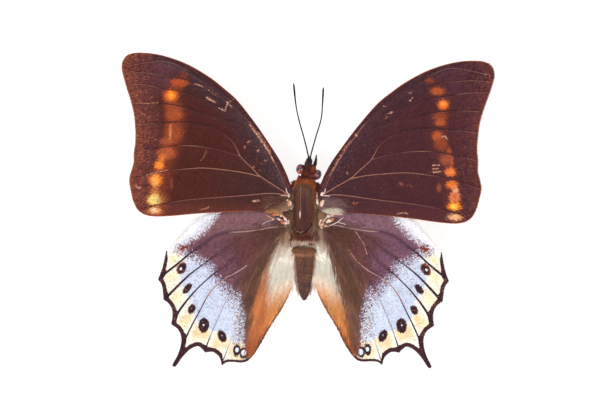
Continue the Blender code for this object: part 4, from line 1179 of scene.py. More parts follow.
def set_wing(wing, side, upper, lower, material):
    """Lifts the drawn wing to its heights, and gives it the markings of both of its faces."""
    mesh = wing.blank.copy()
    half = wing.half_thickness(wing.points, wing.veined["ridge"])
    top = wing.surface(wing.points, wing.veined) + half
    height = top[wing.twin] - 2 * half[wing.twin] * wing.below
    placed = set_out(np.column_stack([wing.points[wing.twin], height]), wing, side)
    mesh.vertices.foreach_set("co", placed.astype(np.float32).ravel())
    for name in upper:
        store(mesh, name, np.where(wing.below[:, None], lower[name][wing.twin], upper[name][wing.twin]))
    if side == "left":
        mesh.flip_normals()
    mesh.update()
    settle(f"{wing.name}_{side}_dressed", mesh, material, [f"{wing.name}_{side}"])


fore_below, hind_below = fore_lower(fore), hind_lower(hind)
for side in ("left", "right"):
    set_wing(fore, side, fore_upper(fore, side), fore_below, fore_material)
    set_wing(hind, side, hind_upper(hind, side), hind_below, hind_material)
for wing in (fore, hind):
    bpy.data.meshes.remove(wing.blank)

# %% [markdown]
# ## The body's skin
#
# Thorax, head and belly are built from a few closed rounded forms that overlap. They are kept a coat's depth
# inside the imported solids. A voxel remesh then melts them into one closed skin, which takes the place of all
# three solids, and a smoothing rounds the joins.

# %% Forms of the body
THORAX_SECTIONS = [
    (8.0, 7.1, 1.3, 1.2, 1.2), (7.5, 7.1, 2.1, 2.1, 2.0), (6.7, 7.0, 3.0, 3.1, 3.0),
    (5.4, 7.0, 3.6, 3.8, 3.8), (3.0, 7.0, 3.75, 4.1, 4.2), (0.0, 7.0, 3.75, 4.2, 4.3),
    (-3.0, 7.0, 3.7, 4.0, 4.2), (-5.2, 7.0, 3.5, 3.6, 3.8), (-6.4, 7.0, 3.3, 3.2, 3.4),
    (-7.0, 6.9, 3.15, 2.5, 3.1), (-8.1, 6.9, 2.85, 2.4, 2.7), (-9.0, 6.8, 2.3, 2.0, 2.2),
]
SEGMENT_EDGES = (-9.3, -11.2, -13.2, -15.1, -17.0, -18.8, -20.5, -22.0, -23.2, -24.3)
COAT_DEPTH = 0.45
HEAD_PLACE = Vector((0.75, 9.6, 7.4))
HEAD_TURN = Matrix.Rotation(math.radians(-13.6), 3, "Z")
HEAD_HALF = (1.55, 1.8, 1.8)
EYE_HALF = (1.02, 1.36, 1.45)
EYE_PLACES = {"left": (-2.4, 0.0, 0.45), "right": (2.45, -0.28, 0.45)}
SHIELD_MIDDLE = -0.75  # the body is set slightly twisted, so the back shield lies left of the middle

# Lumps that the sections don't give: place, then half sizes
LUMPS = [
    ((SHIELD_MIDDLE, 0.4, 8.6), (2.45, 6.3, 2.55)), ((SHIELD_MIDDLE, -6.1, 9.2), (1.85, 0.95, 1.15)),
    ((-0.55, -7.9, 7.5), (3.45, 1.3, 1.9)), ((2.5, -7.3, 7.3), (1.5, 1.7, 1.7)),
    ((-3.0, -8.2, 7.2), (1.15, 1.7, 1.6)), ((0.6, 11.1, 8.2), (0.84, 1.5, 0.8)),
    ((0.5, 12.0, 8.6), (0.5, 0.8, 0.55)), ((1.1, 12.0, 8.6), (0.45, 0.8, 0.55)),
    ((1.8, 10.1, 8.1), (0.8, 1.1, 0.8)), ((-2.6, -5.6, 7.9), (1.5, 2.2, 1.9)),
    ((2.3, -5.0, 8.0), (1.1, 2.6, 1.9)), ((-0.15, -11.1, 6.9), (3.25, 1.3, 2.45)),
    ((-2.6, 5.7, 8.9), (0.95, 1.5, 1.2)), ((2.75, 5.1, 8.7), (0.95, 1.7, 1.3)),
    ((-3.0, 2.9, 9.1), (0.65, 1.7, 0.9)), ((3.1, 2.6, 9.0), (0.6, 1.7, 0.9)),
    ((0.45, 8.2, 7.1), (1.8, 1.3, 1.5)), ((0.2, 7.7, 8.0), (2.35, 0.8, 1.2)),
    ((0.0, -9.2, 6.8), (1.95, 1.2, 1.75)), ((-1.4, 1.0, 3.9), (0.85, 1.3, 1.1)),
    ((1.4, 1.0, 3.9), (0.85, 1.3, 1.1)), ((-1.4, -3.6, 3.9), (0.85, 1.4, 1.1)),
    ((1.4, -3.6, 3.9), (0.85, 1.4, 1.1)), ((-1.1, 5.5, 4.6), (0.6, 0.9, 0.9)),
    ((1.1, 5.5, 4.6), (0.6, 0.9, 0.9)),
]


def ring_points(y, middle, half_width, up, down, corners=28, squareness=2.0, x=0.0):
    """A ring across the body: an ellipse, or a rounder box where squareness is over 2."""
    angle = 2 * math.pi * np.arange(corners) / corners
    c, s = np.cos(angle), np.sin(angle)
    power = 2 / squareness
    across = x + half_width * np.sign(c) * np.abs(c) ** power
    height = middle + np.where(s > 0, up, down) * np.sign(s) * np.abs(s) ** power
    return np.stack([across, np.full(corners, y), height], axis=1)


def add_loft(shape, rings):
    """A closed skin over rings of equally many points."""
    loops = []
    for ring in rings:
        verts = [shape.verts.new(p) for p in ring]
        loops.append([shape.edges.new((a, b)) for a, b in zip(verts, [*verts[1:], verts[0]])])
    for first, second in zip(loops, loops[1:]):
        bmesh.ops.bridge_loops(shape, edges=first + second)
    for end in (loops[0], loops[-1]):
        bmesh.ops.contextual_create(shape, geom=end)


def add_egg(shape, place, half, turn=None, sides=24, rings=14):
    """An egg shape, its poles along the body."""
    made = bmesh.ops.create_uvsphere(shape, u_segments=sides, v_segments=rings, radius=1.0)
    for v in made["verts"]:
        along = Vector((v.co.x * half[0], v.co.z * half[1], v.co.y * half[2]))
        v.co = (turn @ along if turn else along) + Vector(place)
    return made["verts"]


def finish_shape(shape, name):
    """The shape as a mesh, its faces turned outwards."""
    shape.normal_update()
    bmesh.ops.recalc_face_normals(shape, faces=shape.faces)
    mesh = bpy.data.meshes.new(name)
    shape.to_mesh(mesh)
    shape.free()
    return mesh


def belly_size(y):
    """Half width of the belly and the height of its middle."""
    along = [-24.3, -23.6, -22.2, -20.5, -18.0, -15.0, -12.0, -10.3, -9.3]
    width = [0.25, 0.78, 1.42, 1.88, 2.38, 2.68, 2.82, 2.6, 2.25]
    middle = [5.5, 5.6, 5.8, 6.0, 6.3, 6.5, 6.7, 6.8, 6.8]
    return np.interp(y, along, width), np.interp(y, along, middle)


def in_head(point):
    return HEAD_TURN @ Vector(point) + HEAD_PLACE


print("lumps:", len(LUMPS))

# %% Melting the forms into one skin
VOXEL = 0.13

skin_shape = bmesh.new()
thorax_rings = []
for y, middle, half_width, up, down in THORAX_SECTIONS:
    inset = COAT_DEPTH if -8 < y < 7.5 else 0.2
    thorax_rings.append(ring_points(y, middle, half_width - inset, up - inset, down - inset, squareness=2.3))
add_loft(skin_shape, thorax_rings)
belly_rings = []
for ring, (front, back) in enumerate(zip(SEGMENT_EDGES, SEGMENT_EDGES[1:])):
    for share, lip in ((0.06, -0.11), (0.3, -0.04), (0.93, 0.03)):
        y = front + (back - front) * share
        half_width, middle = belly_size(y)
        size = max(0.15, half_width - 0.08 + lip * min(1.0, half_width))
        belly_rings.append(ring_points(y, middle, size, size * 0.86, size * 0.88, x=0.12))
belly_rings.append(ring_points(-24.15, 5.5, 0.12, 0.12, 0.12))
add_loft(skin_shape, belly_rings)
for place, half in LUMPS:
    add_egg(skin_shape, place, half)
add_egg(skin_shape, HEAD_PLACE, [h - 0.18 for h in HEAD_HALF], HEAD_TURN)
add_egg(skin_shape, in_head((0.0, 1.05, -0.25)), (0.95, 0.85, 1.05), HEAD_TURN)
for sign, (x, y, z) in zip((-1, 1), EYE_PLACES.values()):
    add_egg(skin_shape, in_head((x - sign * 0.55, y, z - 0.3)), (0.95, 1.2, 1.35), HEAD_TURN)
rough_skin = finish_shape(skin_shape, "rough_skin")
melting = put_in_scene("melting", rough_skin)
remesh = melting.modifiers.new("melt", "REMESH")
remesh.mode = "VOXEL"
remesh.voxel_size = VOXEL
rounding = melting.modifiers.new("round", "SMOOTH")
rounding.factor = 0.5
rounding.iterations = 4
skin = bpy.data.meshes.new_from_object(melting.evaluated_get(bpy.context.evaluated_depsgraph_get()))
bpy.data.objects.remove(melting)
bpy.data.meshes.remove(rough_skin)
print("skin faces:", len(skin.polygons))

# %% [markdown]
# ### Colours of the body
#
# One function gives the body's colour at any place, for the skin and for the hair that grows there, so
# the two always agree. It lays soft patches over one another: the maroon back shield with a painted
# highlight line and spot and a painted lilac-grey reflection, rust at the collar, olive brown down the
# sides, pale hair between thorax and belly, and a paler under side. A pale arc on the scutellum and a
# pinkish patch between head and collar are painted highlights too.


# %% Colour by place
def body_colour(points, upness):
    """Colours for places on the body, with upness 1 on its back and -1 below."""
    x, y = points[:, :2].T
    colour = plain(points, 122, 80, 58)
    back = ramp(upness, -0.2, 0.4)

    def lay(red, green, blue, share):
        nonlocal colour
        colour = layered(colour, (red, green, blue, share))

    def oval(place_x, place_y, half_x, half_y, soft=0.25, power=2.0):
        across, along = np.abs((x - place_x) / half_x), np.abs((y - place_y) / half_y)
        return ramp((across**power + along**power) ** (1 / power), 1 + soft, 1 - soft)

    def stroke(keys, half_width, soft=0.15):
        gap = nearest(smooth_run(keys, 0.25), points[:, :2])[0]
        return ramp(gap, half_width + soft, half_width - soft) * back

    # sides and rear of the thorax
    lay(136, 98, 66, oval(3.3, 0.5, 0.9, 6.0) * back)
    lay(140, 100, 68, oval(-3.7, -0.8, 0.8, 4.0) * back)
    lay(140, 104, 76, ramp(y, -2.8, -4.6) * back)
    lay(126, 66, 50, oval(-0.4, -7.5, 3.3, 1.1, 0.25) * back)
    lay(120, 84, 74, oval(2.9, -7.3, 0.8, 1.3, 0.3) * back)
    lay(96, 50, 38, oval(-3.9, -7.7, 0.7, 1.0, 0.4) * back)
    # collar and shoulders
    collar = back * ramp(y, 4.2, 5.8) * ramp(y, 7.7, 7.1) * oval(SHIELD_MIDDLE + 0.4, 5.0, 3.2, 3.3, 0.1)
    lay(198, 106, 52, collar)
    lay(176, 92, 42, stroke([(-2.8, 6.9), (-3.1, 4.8), (-3.15, 2.6)], 0.25, 0.25) * 0.85)
    lay(180, 88, 38, stroke([(1.7, 6.6), (2.0, 4.4), (1.95, 1.6)], 0.3, 0.25) * 0.9)
    lay(98, 42, 36, oval(3.2, 5.2, 0.8, 2.2, 0.3) * back)
    lay(84, 30, 24, oval(-3.6, 6.2, 0.5, 1.0, 0.4) * back)
    lay(232, 150, 44, oval(2.72, 0.25, 0.34, 0.34) * back)
    # back shield
    shield = oval(SHIELD_MIDDLE + 0.1, -0.2, 2.65, 6.5, 0.13, 3.2) * back
    lay(106, 60, 50, shield)
    lay(122, 84, 66, shield * ramp(y, 1.0, 5.0))
    lay(84, 44, 40, shield * oval(SHIELD_MIDDLE - 2.1, -1.0, 0.5, 5.4, 0.7) * 0.7)
    lay(126, 80, 62, shield * oval(SHIELD_MIDDLE - 1.2, -0.4, 0.45, 5.0, 0.7) * 0.5)
    lay(88, 50, 46, shield * oval(SHIELD_MIDDLE + 0.7, -2.6, 0.8, 3.4, 0.7) * 0.6)
    lay(124, 76, 56, shield * oval(SHIELD_MIDDLE + 2.0, 1.4, 0.5, 4.2, 0.7) * 0.6)
    # painted highlight: a pale line down the shield's middle, and a bright spot on it
    shield_highlight_line = shield * ramp(np.abs(x + 1.28), 0.15, 0.03) * ramp(y, -2.4, -1.2) * ramp(y, 6.2, 5.0)
    lay(170, 138, 130, shield_highlight_line * 0.6)
    lay(240, 216, 210, shield * ramp(np.hypot((x + 1.36) / 0.26, (y + 1.7) / 1.1), 1.2, 0.5))
    # painted reflection: a lilac-grey strip beside the shield's middle
    beside = shield * ramp(np.abs(x - 0.45), 0.34, 0.05) * ramp(y, -1.8, -0.4) * ramp(y, 5.8, 4.4)
    lay(118, 96, 100, beside * 0.6)
    rim = [(-3.47, -5.09), (-2.63, -6.12), (-1.58, -6.85), (-0.68, -6.76), (0.42, -6.07), (1.38, -4.93),
           (1.74, -4.25)]
    lay(50, 22, 18, stroke(rim, 0.24, 0.2))
    # painted highlight: a pale arc inside the scutellum's dark rim
    lay(160, 130, 130, stroke([(-2.2, -5.9), (-1.29, -6.32), (-0.35, -6.05)], 0.1, 0.16) * 0.85)
    lay(60, 28, 24, oval(-1.3, -5.72, 0.35, 0.2, 0.5) * back * 0.7)
    # pale folds between thorax and belly
    arch = -10.0 - 0.075 * (x + 0.4) ** 2
    folds = back * ramp(y, -8.35, -8.75)
    lay(220, 186, 166, folds * ramp(np.abs(x + 0.1), 4.4, 3.9))
    lay(250, 232, 214, folds * oval(0.0, -9.6, 1.3, 0.5, 0.5))
    lay(224, 184, 176, folds * oval(-2.8, -9.6, 0.4, 0.9, 0.5))
    lay(156, 96, 78, folds * oval(1.5, -9.3, 0.55, 0.6, 0.5) * 0.8)
    lay(232, 210, 178, folds * oval(2.4, -9.9, 0.35, 0.6, 0.4))
    lay(220, 152, 128, folds * oval(3.3, -9.6, 0.3, 0.9, 0.4))
    lay(62, 32, 24, stroke([(-3.5, -8.3), (-3.85, -9.3), (-3.5, -10.5)], 0.14, 0.2) * 0.9)
    lay(252, 238, 220, stroke([(-4.15, -9.2), (-4.2, -10.2)], 0.12, 0.15) * 0.9)
    lay(58, 34, 26, stroke([(4.1, -6.4), (4.25, -8.0), (3.9, -9.6)], 0.12, 0.18) * 0.85)
    # belly
    past_arch = ramp(y - arch, 0.05, -0.15)
    lay(136, 94, 68, back * past_arch)
    lay(156, 104, 72, back * past_arch * ramp(np.abs(np.abs(x + 0.3) - 1.9), 0.9, 0.2) * 0.7)
    lay(92, 72, 54, back * ramp(np.abs(y - arch), 0.32, 0.1) * ramp(np.abs(x + 0.3), 3.2, 2.6) * 0.8)
    lay(184, 124, 92, back * ramp(np.abs(y + 12.5 - 0.07 * x**2), 0.45, 0.1) * 0.8)
    lay(124, 82, 66, ramp(y, -12.7, -13.2))
    lay(92, 60, 52, back * oval(0.1, -16.0, 0.5, 3.6, 0.8) * 0.6)
    lay(142, 98, 80, ramp(y, -14, -18) * oval(0.9, -18.0, 0.9, 4.6, 0.5) * 0.4)
    lay(72, 46, 42, ramp(np.abs(y + 17.0 + 0.5 * np.cos(3 * x)), 0.5, 0.1) * 0.3 * back)
    lay(98, 66, 60, ramp(y, -18.5, -20.5))
    lay(130, 96, 82, oval(-1.2, -20.6, 0.5, 0.8, 0.5) * 0.7)
    lay(152, 100, 82, oval(0.9, -21.6, 0.4, 0.9, 0.5) * 0.6)
    for edge in SEGMENT_EDGES[3:-1]:
        lay(76, 48, 42, ramp(np.abs(y - edge + 0.1), 0.22, 0.06) * 0.25)
    fibres = np.sin(11.0 * x + 1.3 * np.sin(1.7 * y)) * np.sin(1.9 * y + 4.0 * x)
    fibres = fibres + 0.5 * np.sin(6.1 * x - 3.3 * y)
    colour = np.clip(colour * (1 + 0.17 * np.clip(fibres, -1, 1))[:, None], 0, 1)
    # neck and head
    lay(110, 50, 40, ramp(y, 7.3, 7.8))
    lay(168, 88, 54, oval(-2.1, 7.6, 1.0, 0.5, 0.4) * back * 0.8)
    # painted highlight: a pinkish patch between head and collar
    lay(158, 96, 84, oval(1.9, 8.3, 0.9, 0.3, 0.5) * back * 0.7)
    lay(96, 46, 44, ramp(y, 8.5, 9.2))
    lay(126, 60, 42, oval(-0.35, 9.2, 0.5, 0.9, 0.5) * back)
    lay(170, 82, 52, oval(1.85, 10.4, 0.75, 1.0, 0.6) * back)
    lay(120, 58, 42, oval(2.1, 9.9, 0.3, 0.4, 0.5) * back * 0.7)
    lay(84, 44, 46, oval(0.7, 9.9, 0.5, 0.6, 0.5) * back)
    lay(160, 118, 88, ramp(upness, 0.0, -0.5) * 0.85)
    lay(200, 176, 152, ramp(upness, -0.3, -0.8) * ramp(y, 4, 1) * ramp(y, -9, -5) * 0.5)
    return colour


def crest_colour(points):
    """The crest between the feelers: dark strands with rust ones between them, and grey and violet-grey strands
    that are painted reflections on the dark hair.
    """
    x, y = points[:, 0], points[:, 1]
    across = x - 0.5 - 0.1 * (y - 11.0)
    # the grey and violet-grey strands are painted reflections on dark hair
    strands = [(-0.95, (74, 44, 44)), (-0.65, (150, 74, 38)), (-0.45, (96, 80, 76)), (-0.2, (120, 114, 122)),
               (0.0, (88, 58, 62)), (0.15, (190, 92, 56)), (0.35, (126, 66, 50)), (0.55, (110, 102, 124)),
               (0.85, (64, 46, 54))]
    colour = along_stops(across, [(place, paint(*shade)) for place, shade in strands])
    return blend(colour, paint(54, 38, 44), ramp(y, 11.9, 12.7))


def mesh_points(mesh):
    return numbers_of(mesh.vertices, "co", 3).astype(float)


def mesh_normals(mesh):
    return numbers_of(mesh.vertex_normals, "vector", 3).astype(float)


skin_points, skin_normals = mesh_points(skin), mesh_normals(skin)
tint = body_colour(skin_points, skin_normals[:, 2])
store(skin, "tint", np.column_stack([tint * 0.85, np.ones(len(tint))]))

# %% [markdown]
# ## Hair
#
# A hair tuft is a flat tapering spike of three corners. It bends as it goes, and thousands of them are filled
# into one mesh straight from arrays. Each tuft keeps its own tone, a painted shade that darkens it towards
# its root, and a small patch of a map laid on the skin's own shape: around the body and along it.

# %% The hair's material
coat_material = tinted_material("coat", 0.6, 0.15, sheen_weight=0.05, sheen_roughness=0.4)[0]
skin_material = shell_material("body_skin", 0.55, 0.2, 9000.0, 0.00005, strength=0.5)

SHORT_TUFT = ((0.0, 1.0), (0.5, 0.8))
LONG_TUFT = ((0.0, 1.0), (0.35, 0.95), (0.7, 0.65))
PATCH = 0.0015  # half of a tuft's patch on the map
# tufts are painted darker towards the root: a painted shade where they meet the skin
ROOT_PAINTED_SHADE = 0.96
SEED = 7
dice = np.random.default_rng(SEED)


def tuft_faces(rings, flipped):
    """The corners of one tuft's faces, numbered within the tuft."""
    faces = [[2, 1, 0]]
    for ring in range(rings - 1):
        for k in range(3):
            low, next_low = 3 * ring + k, 3 * ring + (k + 1) % 3
            faces.append([low, next_low, next_low + 3, low + 3])
    top = 3 * (rings - 1)
    faces += [[top + k, top + (k + 1) % 3, top + 3] for k in range(3)]
    return [face[::-1] for face in faces] if flipped else faces


def unit(vectors):
    return vectors / np.maximum(np.linalg.norm(vectors, axis=1), 1e-9)[:, None]


def tufts(name, roots, normals, flows, lengths, radius, tints, places, bend=-0.12, shape=SHORT_TUFT,
          keel=0.32, placing=None, flipped=False):
    """One mesh of many tufts. Flows are the ways that they point, the keel is how far their backs stand up,
    and placing moves the finished corners."""
    count, rings = len(roots), len(shape)
    across = unit(np.cross(flows, normals))
    above = np.cross(across, flows)
    lengths = lengths[:, None]
    corners = np.empty((count, rings * 3 + 1, 3))
    shades = np.ones((count, rings * 3 + 1, 4))
    for ring, (share, size) in enumerate(shape):
        middle = roots - normals * 0.04 + (flows * share + normals * bend * share**2) * lengths
        for k in range(3):
            angle = 2 * math.pi * k / 3 + math.pi / 2
            spread = across * math.cos(angle) + above * math.sin(angle) * keel
            corners[:, 3 * ring + k] = middle + spread * radius * size
        # painted shade: each ring is darker the nearer it lies to the root
        shades[:, 3 * ring:3 * ring + 3, :3] = (tints * (ROOT_PAINTED_SHADE + (1 - ROOT_PAINTED_SHADE) * share))[:, None]
    corners[:, -1] = roots + (flows + normals * bend) * lengths
    shades[:, -1, :3] = tints
    corners = corners.reshape(-1, 3)
    if placing:
        corners = placing(corners)
    faces = tuft_faces(rings, flipped)
    sizes = np.array([len(face) for face in faces])
    within = np.concatenate(faces)
    starts = np.concatenate([[0], np.cumsum(np.tile(sizes, count))[:-1]])
    mesh = bpy.data.meshes.new(name)
    mesh.vertices.add(len(corners))
    mesh.vertices.foreach_set("co", corners.astype(np.float32).ravel())
    indices = (within[None] + (rings * 3 + 1) * np.arange(count)[:, None]).ravel()
    mesh.loops.add(len(indices))
    mesh.loops.foreach_set("vertex_index", indices.astype(np.int32))
    mesh.polygons.add(count * len(faces))
    mesh.polygons.foreach_set("loop_start", starts.astype(np.int32))
    mesh.update(calc_edges=True)
    store(mesh, "tint", shades.reshape(-1, 4))
    sheet = mesh.uv_layers.new(name="OFBake")
    shift = PATCH * np.stack([np.cos(2.1 * within), np.sin(2.1 * within)], axis=1)
    sheet.uv.foreach_set("vector", (places[:, None] + shift).astype(np.float32).ravel())
    settle(name, mesh, coat_material)


# %% Growing hair on the body
class Ground:
    """The skin as triangles to scatter roots on."""

    def __init__(self, mesh):
        mesh.calc_loop_triangles()
        corners = numbers_of(mesh.loop_triangles, "vertices", 3, np.int32)
        self.corners = mesh_points(mesh)[corners]
        self.normals = mesh_normals(mesh)[corners].mean(1)
        edges = self.corners[:, 1] - self.corners[:, 0], self.corners[:, 2] - self.corners[:, 0]
        self.area = np.linalg.norm(np.cross(*edges), axis=1) / 2
        self.middle = self.corners.mean(1)

    def scatter(self, count, density):
        """Roots and normals, spread by area times a density."""
        weights = self.area * density(self.middle, self.normals)
        chosen = dice.choice(len(weights), count, p=weights / weights.sum())
        shares = dice.dirichlet((1, 1, 1), count)
        roots = (self.corners[chosen] * shares[:, :, None]).sum(1)
        return roots, unit(self.normals[chosen])


def lean(normals, ways, lift, jitter):
    """Directions along the skin, raised off it by a lift in degrees, each a little different."""
    ways = ways + dice.normal(0, jitter, ways.shape)
    along = unit(ways - normals * (ways * normals).sum(1)[:, None])
    angle = np.radians(lift * dice.uniform(0.5, 1.5, len(ways)))[:, None]
    return along * np.cos(angle) + normals * np.sin(angle)


def round_the_body(roots):
    """Map places: around the body and along it."""
    around = np.arctan2(roots[:, 0], roots[:, 2] - 7.0) / (2 * math.pi) + 0.5
    along = (roots[:, 1] + 25.0) / 38.0
    return np.clip(np.column_stack([around, along]), 0.002, 0.998)


def toned(colours, spread, pale=0.0):
    """Colours, each made a little lighter or darker, and a few paler. Pale ones differ less."""
    spread = spread * (1 - 0.7 * ramp(colours.mean(1), 0.4, 0.8))
    tones = dice.normal(1.0, spread, len(colours)).clip(0.5, 1.6)[:, None]
    bleached = (dice.random(len(colours)) < pale)[:, None]
    return np.clip(np.where(bleached, colours * 1.3 + 0.08, colours * tones), 0, 1)


def body_hair(name, count, density, length, radius, lift, way=(0, -1, 0), spread=0.12, pale=0.0, jitter=0.18,
              shape=SHORT_TUFT, colour=None, bend=-0.12):
    roots, normals = ground.scatter(count, density)
    ways = np.array(way, float) + normals * np.array([0.5, 0.0, 0.25])
    lengths = dice.uniform(*length, count)
    flows = lean(normals, ways, lift, jitter)
    covered = roots + flows * lengths[:, None] * 0.6
    colours = body_colour(covered, normals[:, 2]) if colour is None else colour(covered)
    tufts(name, roots, normals, flows, lengths, radius, toned(colours, spread, pale), round_the_body(roots),
          bend=bend, shape=shape)


ground = Ground(skin)


def between(value, low, high, soft=0.4):
    return ramp(value, low - soft, low + soft) * ramp(value, high + soft, high - soft)


def on_shield(points):
    x, y = points[:, 0], points[:, 1]
    return ramp(np.hypot((x - SHIELD_MIDDLE) / 2.6, (y - 0.2) / 6.9), 1.05, 0.9)


def off_eyes(points):
    """0 close to an eye, so that no hair grows over it."""
    clear = np.ones(len(points))
    for place in EYE_PLACES.values():
        away = (points - np.array(in_head(place))) / np.array(EYE_HALF)
        clear *= ramp(np.linalg.norm(away, axis=1), 0.95, 1.2)
    return clear


def thorax_part(points):
    return between(points[:, 1], -8.2, 7.9, 0.3)


def crest_part(points):
    return between(points[:, 1], 10.5, 12.9) * ramp(np.abs(points[:, 0] - 0.65), 1.1, 0.9)


body_hair("coat_back", 9000, lambda p, n: on_shield(p) * ramp(n[:, 2], 0.1, 0.4), (0.4, 0.75), 0.055, 12,
          spread=0.2, bend=-0.06)
body_hair("coat_sides", 11000, lambda p, n: thorax_part(p) * (1 - on_shield(p) * ramp(n[:, 2], 0.1, 0.4)),
          (0.9, 1.7), 0.06, 16, way=(0, -1, -0.15), spread=0.2, pale=0.04, shape=LONG_TUFT)
body_hair("coat_collar", 2600, lambda p, n: between(p[:, 1], 6.0, 8.6) * ramp(n[:, 2], -0.6, 0.2),
          (0.5, 0.95), 0.055, 18, spread=0.2)
body_hair("coat_waist", 3200, lambda p, n: between(p[:, 1], -9.4, -6.6) * ramp(n[:, 2], -0.5, 0.0),
          (0.8, 1.5), 0.055, 14, spread=0.16, pale=0.1, shape=LONG_TUFT)
body_hair("coat_belly", 11500, lambda p, n: between(p[:, 1], -23.8, -9.6),
          (0.45, 0.8), 0.055, 13, spread=0.24, pale=0.03, bend=-0.06)
body_hair("coat_head", 5200, lambda p, n: between(p[:, 1], 8.6, 11.8) * off_eyes(p),
          (0.25, 0.5), 0.04, 24, way=(0, 0.6, 0.3), spread=0.2)
body_hair("coat_crest", 1800, lambda p, n: crest_part(p) * ramp(n[:, 2], -0.4, 0.1),
          (0.5, 0.95), 0.04, 8, way=(0.05, 1, 0.1), colour=crest_colour, jitter=0.08)

# %% Hair along the belly's sides
def low_on_belly(points, normals):
    return between(points[:, 1], -21.3, -10.5) * ramp(np.abs(normals[:, 0]), 0.75, 0.95)


body_hair("coat_strips", 1900, low_on_belly, (1.6, 2.8), 0.045, 14, spread=0.25, shape=LONG_TUFT, jitter=0.1,
          colour=lambda roots: plain(roots, 206, 168, 150))
settle("body_skin", skin, skin_material, ["thorax", "abdomen", "head"])


# %% [markdown]
# ## Hair on the wings
#
# Long hair covers the hind wings beside the belly: cream, then orange, with brown further out. It streams
# from the wing's root to the rear. Shorter hair fans out behind the root of each fore wing, and every
# outer margin has a fringe.

# %% Hair on the wings
WING_MAP = 50.0
WING_HAIR_JITTER = 0.06
FRINGE_STEP = 0.055


def wing_hair(name, wing, side, roots, ways, lengths, radius, colours, lift, spread, pale=0.0, bend=-0.03,
              shape=LONG_TUFT):
    """Hair rooted on a wing's upper side, drawn on the right wing and set out like it."""
    veined = wing.vein_map(roots)
    half = wing.half_thickness(roots, veined["ridge"])
    stood = np.column_stack([roots, wing.surface(roots, veined) + half - 0.01])
    slopes = [wing.middle(roots - step) - wing.middle(roots + step) for step in np.eye(2) / 2]
    normals = unit(np.column_stack([*slopes, np.ones(len(roots))]))
    flows = lean(normals, np.column_stack([ways, np.zeros(len(roots))]), lift, WING_HAIR_JITTER)
    places = np.clip(roots / WING_MAP + np.array([0.0, 0.9]), 0.002, 0.998)
    tufts(f"{name}_{side}", stood, normals, flows, lengths, radius, toned(colours, spread, pale), places,
          bend=bend, shape=shape, keel=0.15,
          placing=lambda corners: set_out(corners, wing, side), flipped=side == "left")


def kept_inside(wing, roots, ways, lengths):
    """Lengths cut down where a hair would reach past the wing's rear margin."""
    for _ in range(3):
        tips = roots + ways * lengths[:, None]
        past = ~inside(wing.outline, tips) & (tips[:, 0] > 3.0)
        lengths = np.where(past, lengths * 0.6, lengths)
    return lengths


def pick(wing, count, density):
    """Places on a wing, denser where the density is higher."""
    weights = density(wing.points)
    chosen = dice.choice(len(weights), count, p=weights / weights.sum())
    return wing.points[chosen] + dice.uniform(-CELL / 2, CELL / 2, (count, 2))


def streaming(points, source, towards, share):
    """Ways that lead away from a source, turned partly to a shared direction."""
    ways = unit(points - np.array(source))
    return unit(ways * (1 - share) + np.array(towards) * share)


def inner_density(points):
    x, y = points.T
    near = ramp(towards_belly(points, HAIR_EDGE), -1.8 + 1.0 * ramp(y, -19, -24), 1.2) * ramp(x, 16.0, 13.0)
    near = near * ramp(y, -2.6, -4.6) * ramp(y, -37.0, -33)
    return near * (1.0 - 0.3 * ramp(y, -22, -32)) * (1 - 0.3 * ramp(x, 9, 7))


def base_density(points):
    x, y = points.T
    away = np.linalg.norm(points - np.array([4.0, -4.0]), axis=1)
    near_body = ramp(x, 8, 6)
    behind = ramp(y, -2.4 + 2.6 * near_body, -4.6 + 3.4 * near_body)
    past_cream = towards_belly(points, CREAM_LINES["left"])
    return ramp(away, 12, 4) * behind * (1 - 0.8 * ramp(past_cream, 0.2, 1.2) * ramp(y, -7, -9))


def base_colour(points, side):
    """Brown at the hind wing's root, tan by the body on the right, pale where it meets the cream hair."""
    x, y = points.T
    warm = (110, 78, 60) if side == "left" else (156, 118, 86)
    colour = layered(plain(points, 112, 72, 62), (122, 84, 84, ramp(y, -6.0, -3.5)),
                     (*warm, ramp(x, 7.0, 5.0) * ramp(y, -5.5, -3.5)))
    past_hair = towards_belly(points, HAIR_EDGE)
    return blend(colour, hair_ground(points, side), ramp(y, -5.5, -7.5) * ramp(past_hair, -0.5, 0.5))


def fore_root_density(points):
    x, y = points.T
    return ramp(x, 12.5, 5.0) * ramp(y, 3.2, 0.2)


def fore_root_colour(points, side):
    """Tan by the body with an orange patch on the left wing, greyish pink with a cream patch on the right."""
    x, y = points.T
    if side == "left":
        patch = ramp(np.hypot((x - 7.3) / 2.2, (y + 1.0) / 0.8), 1.3, 0.6)
        return layered(plain(points, 108, 66, 56), (180, 140, 112, ramp(x + 2 * y, 9.0, 3.5)),
                       (206, 142, 84, patch * 0.8))
    patch = ramp(np.hypot((x - 6.2) / 2.8, (y + 0.5) / 0.9), 1.3, 0.7)
    return layered(plain(points, 110, 72, 70), (150, 116, 112, ramp(x, 13, 6)), (255, 234, 212, patch))


def fringe_hair(wing, side, *shade):
    """Short hair along a wing's outer margin, rooted just inside it."""
    line = smooth_run(wing.outer, FRINGE_STEP)
    run = np.gradient(line, axis=0)
    run /= np.linalg.norm(run, axis=1)[:, None]
    inwards = np.stack([-run[:, 1], run[:, 0]], axis=1)
    if not inside(wing.outline, line[50:51] + inwards[50:51] * 0.3)[0]:
        inwards = -inwards
    roots = line + inwards * 0.14
    lengths = dice.uniform(0.22, 0.4, len(roots))
    wing_hair(f"fringe_{wing.name}", wing, side, roots, -inwards, lengths, 0.035, plain(roots, *shade),
              2, 0.3, bend=0.0, shape=SHORT_TUFT)


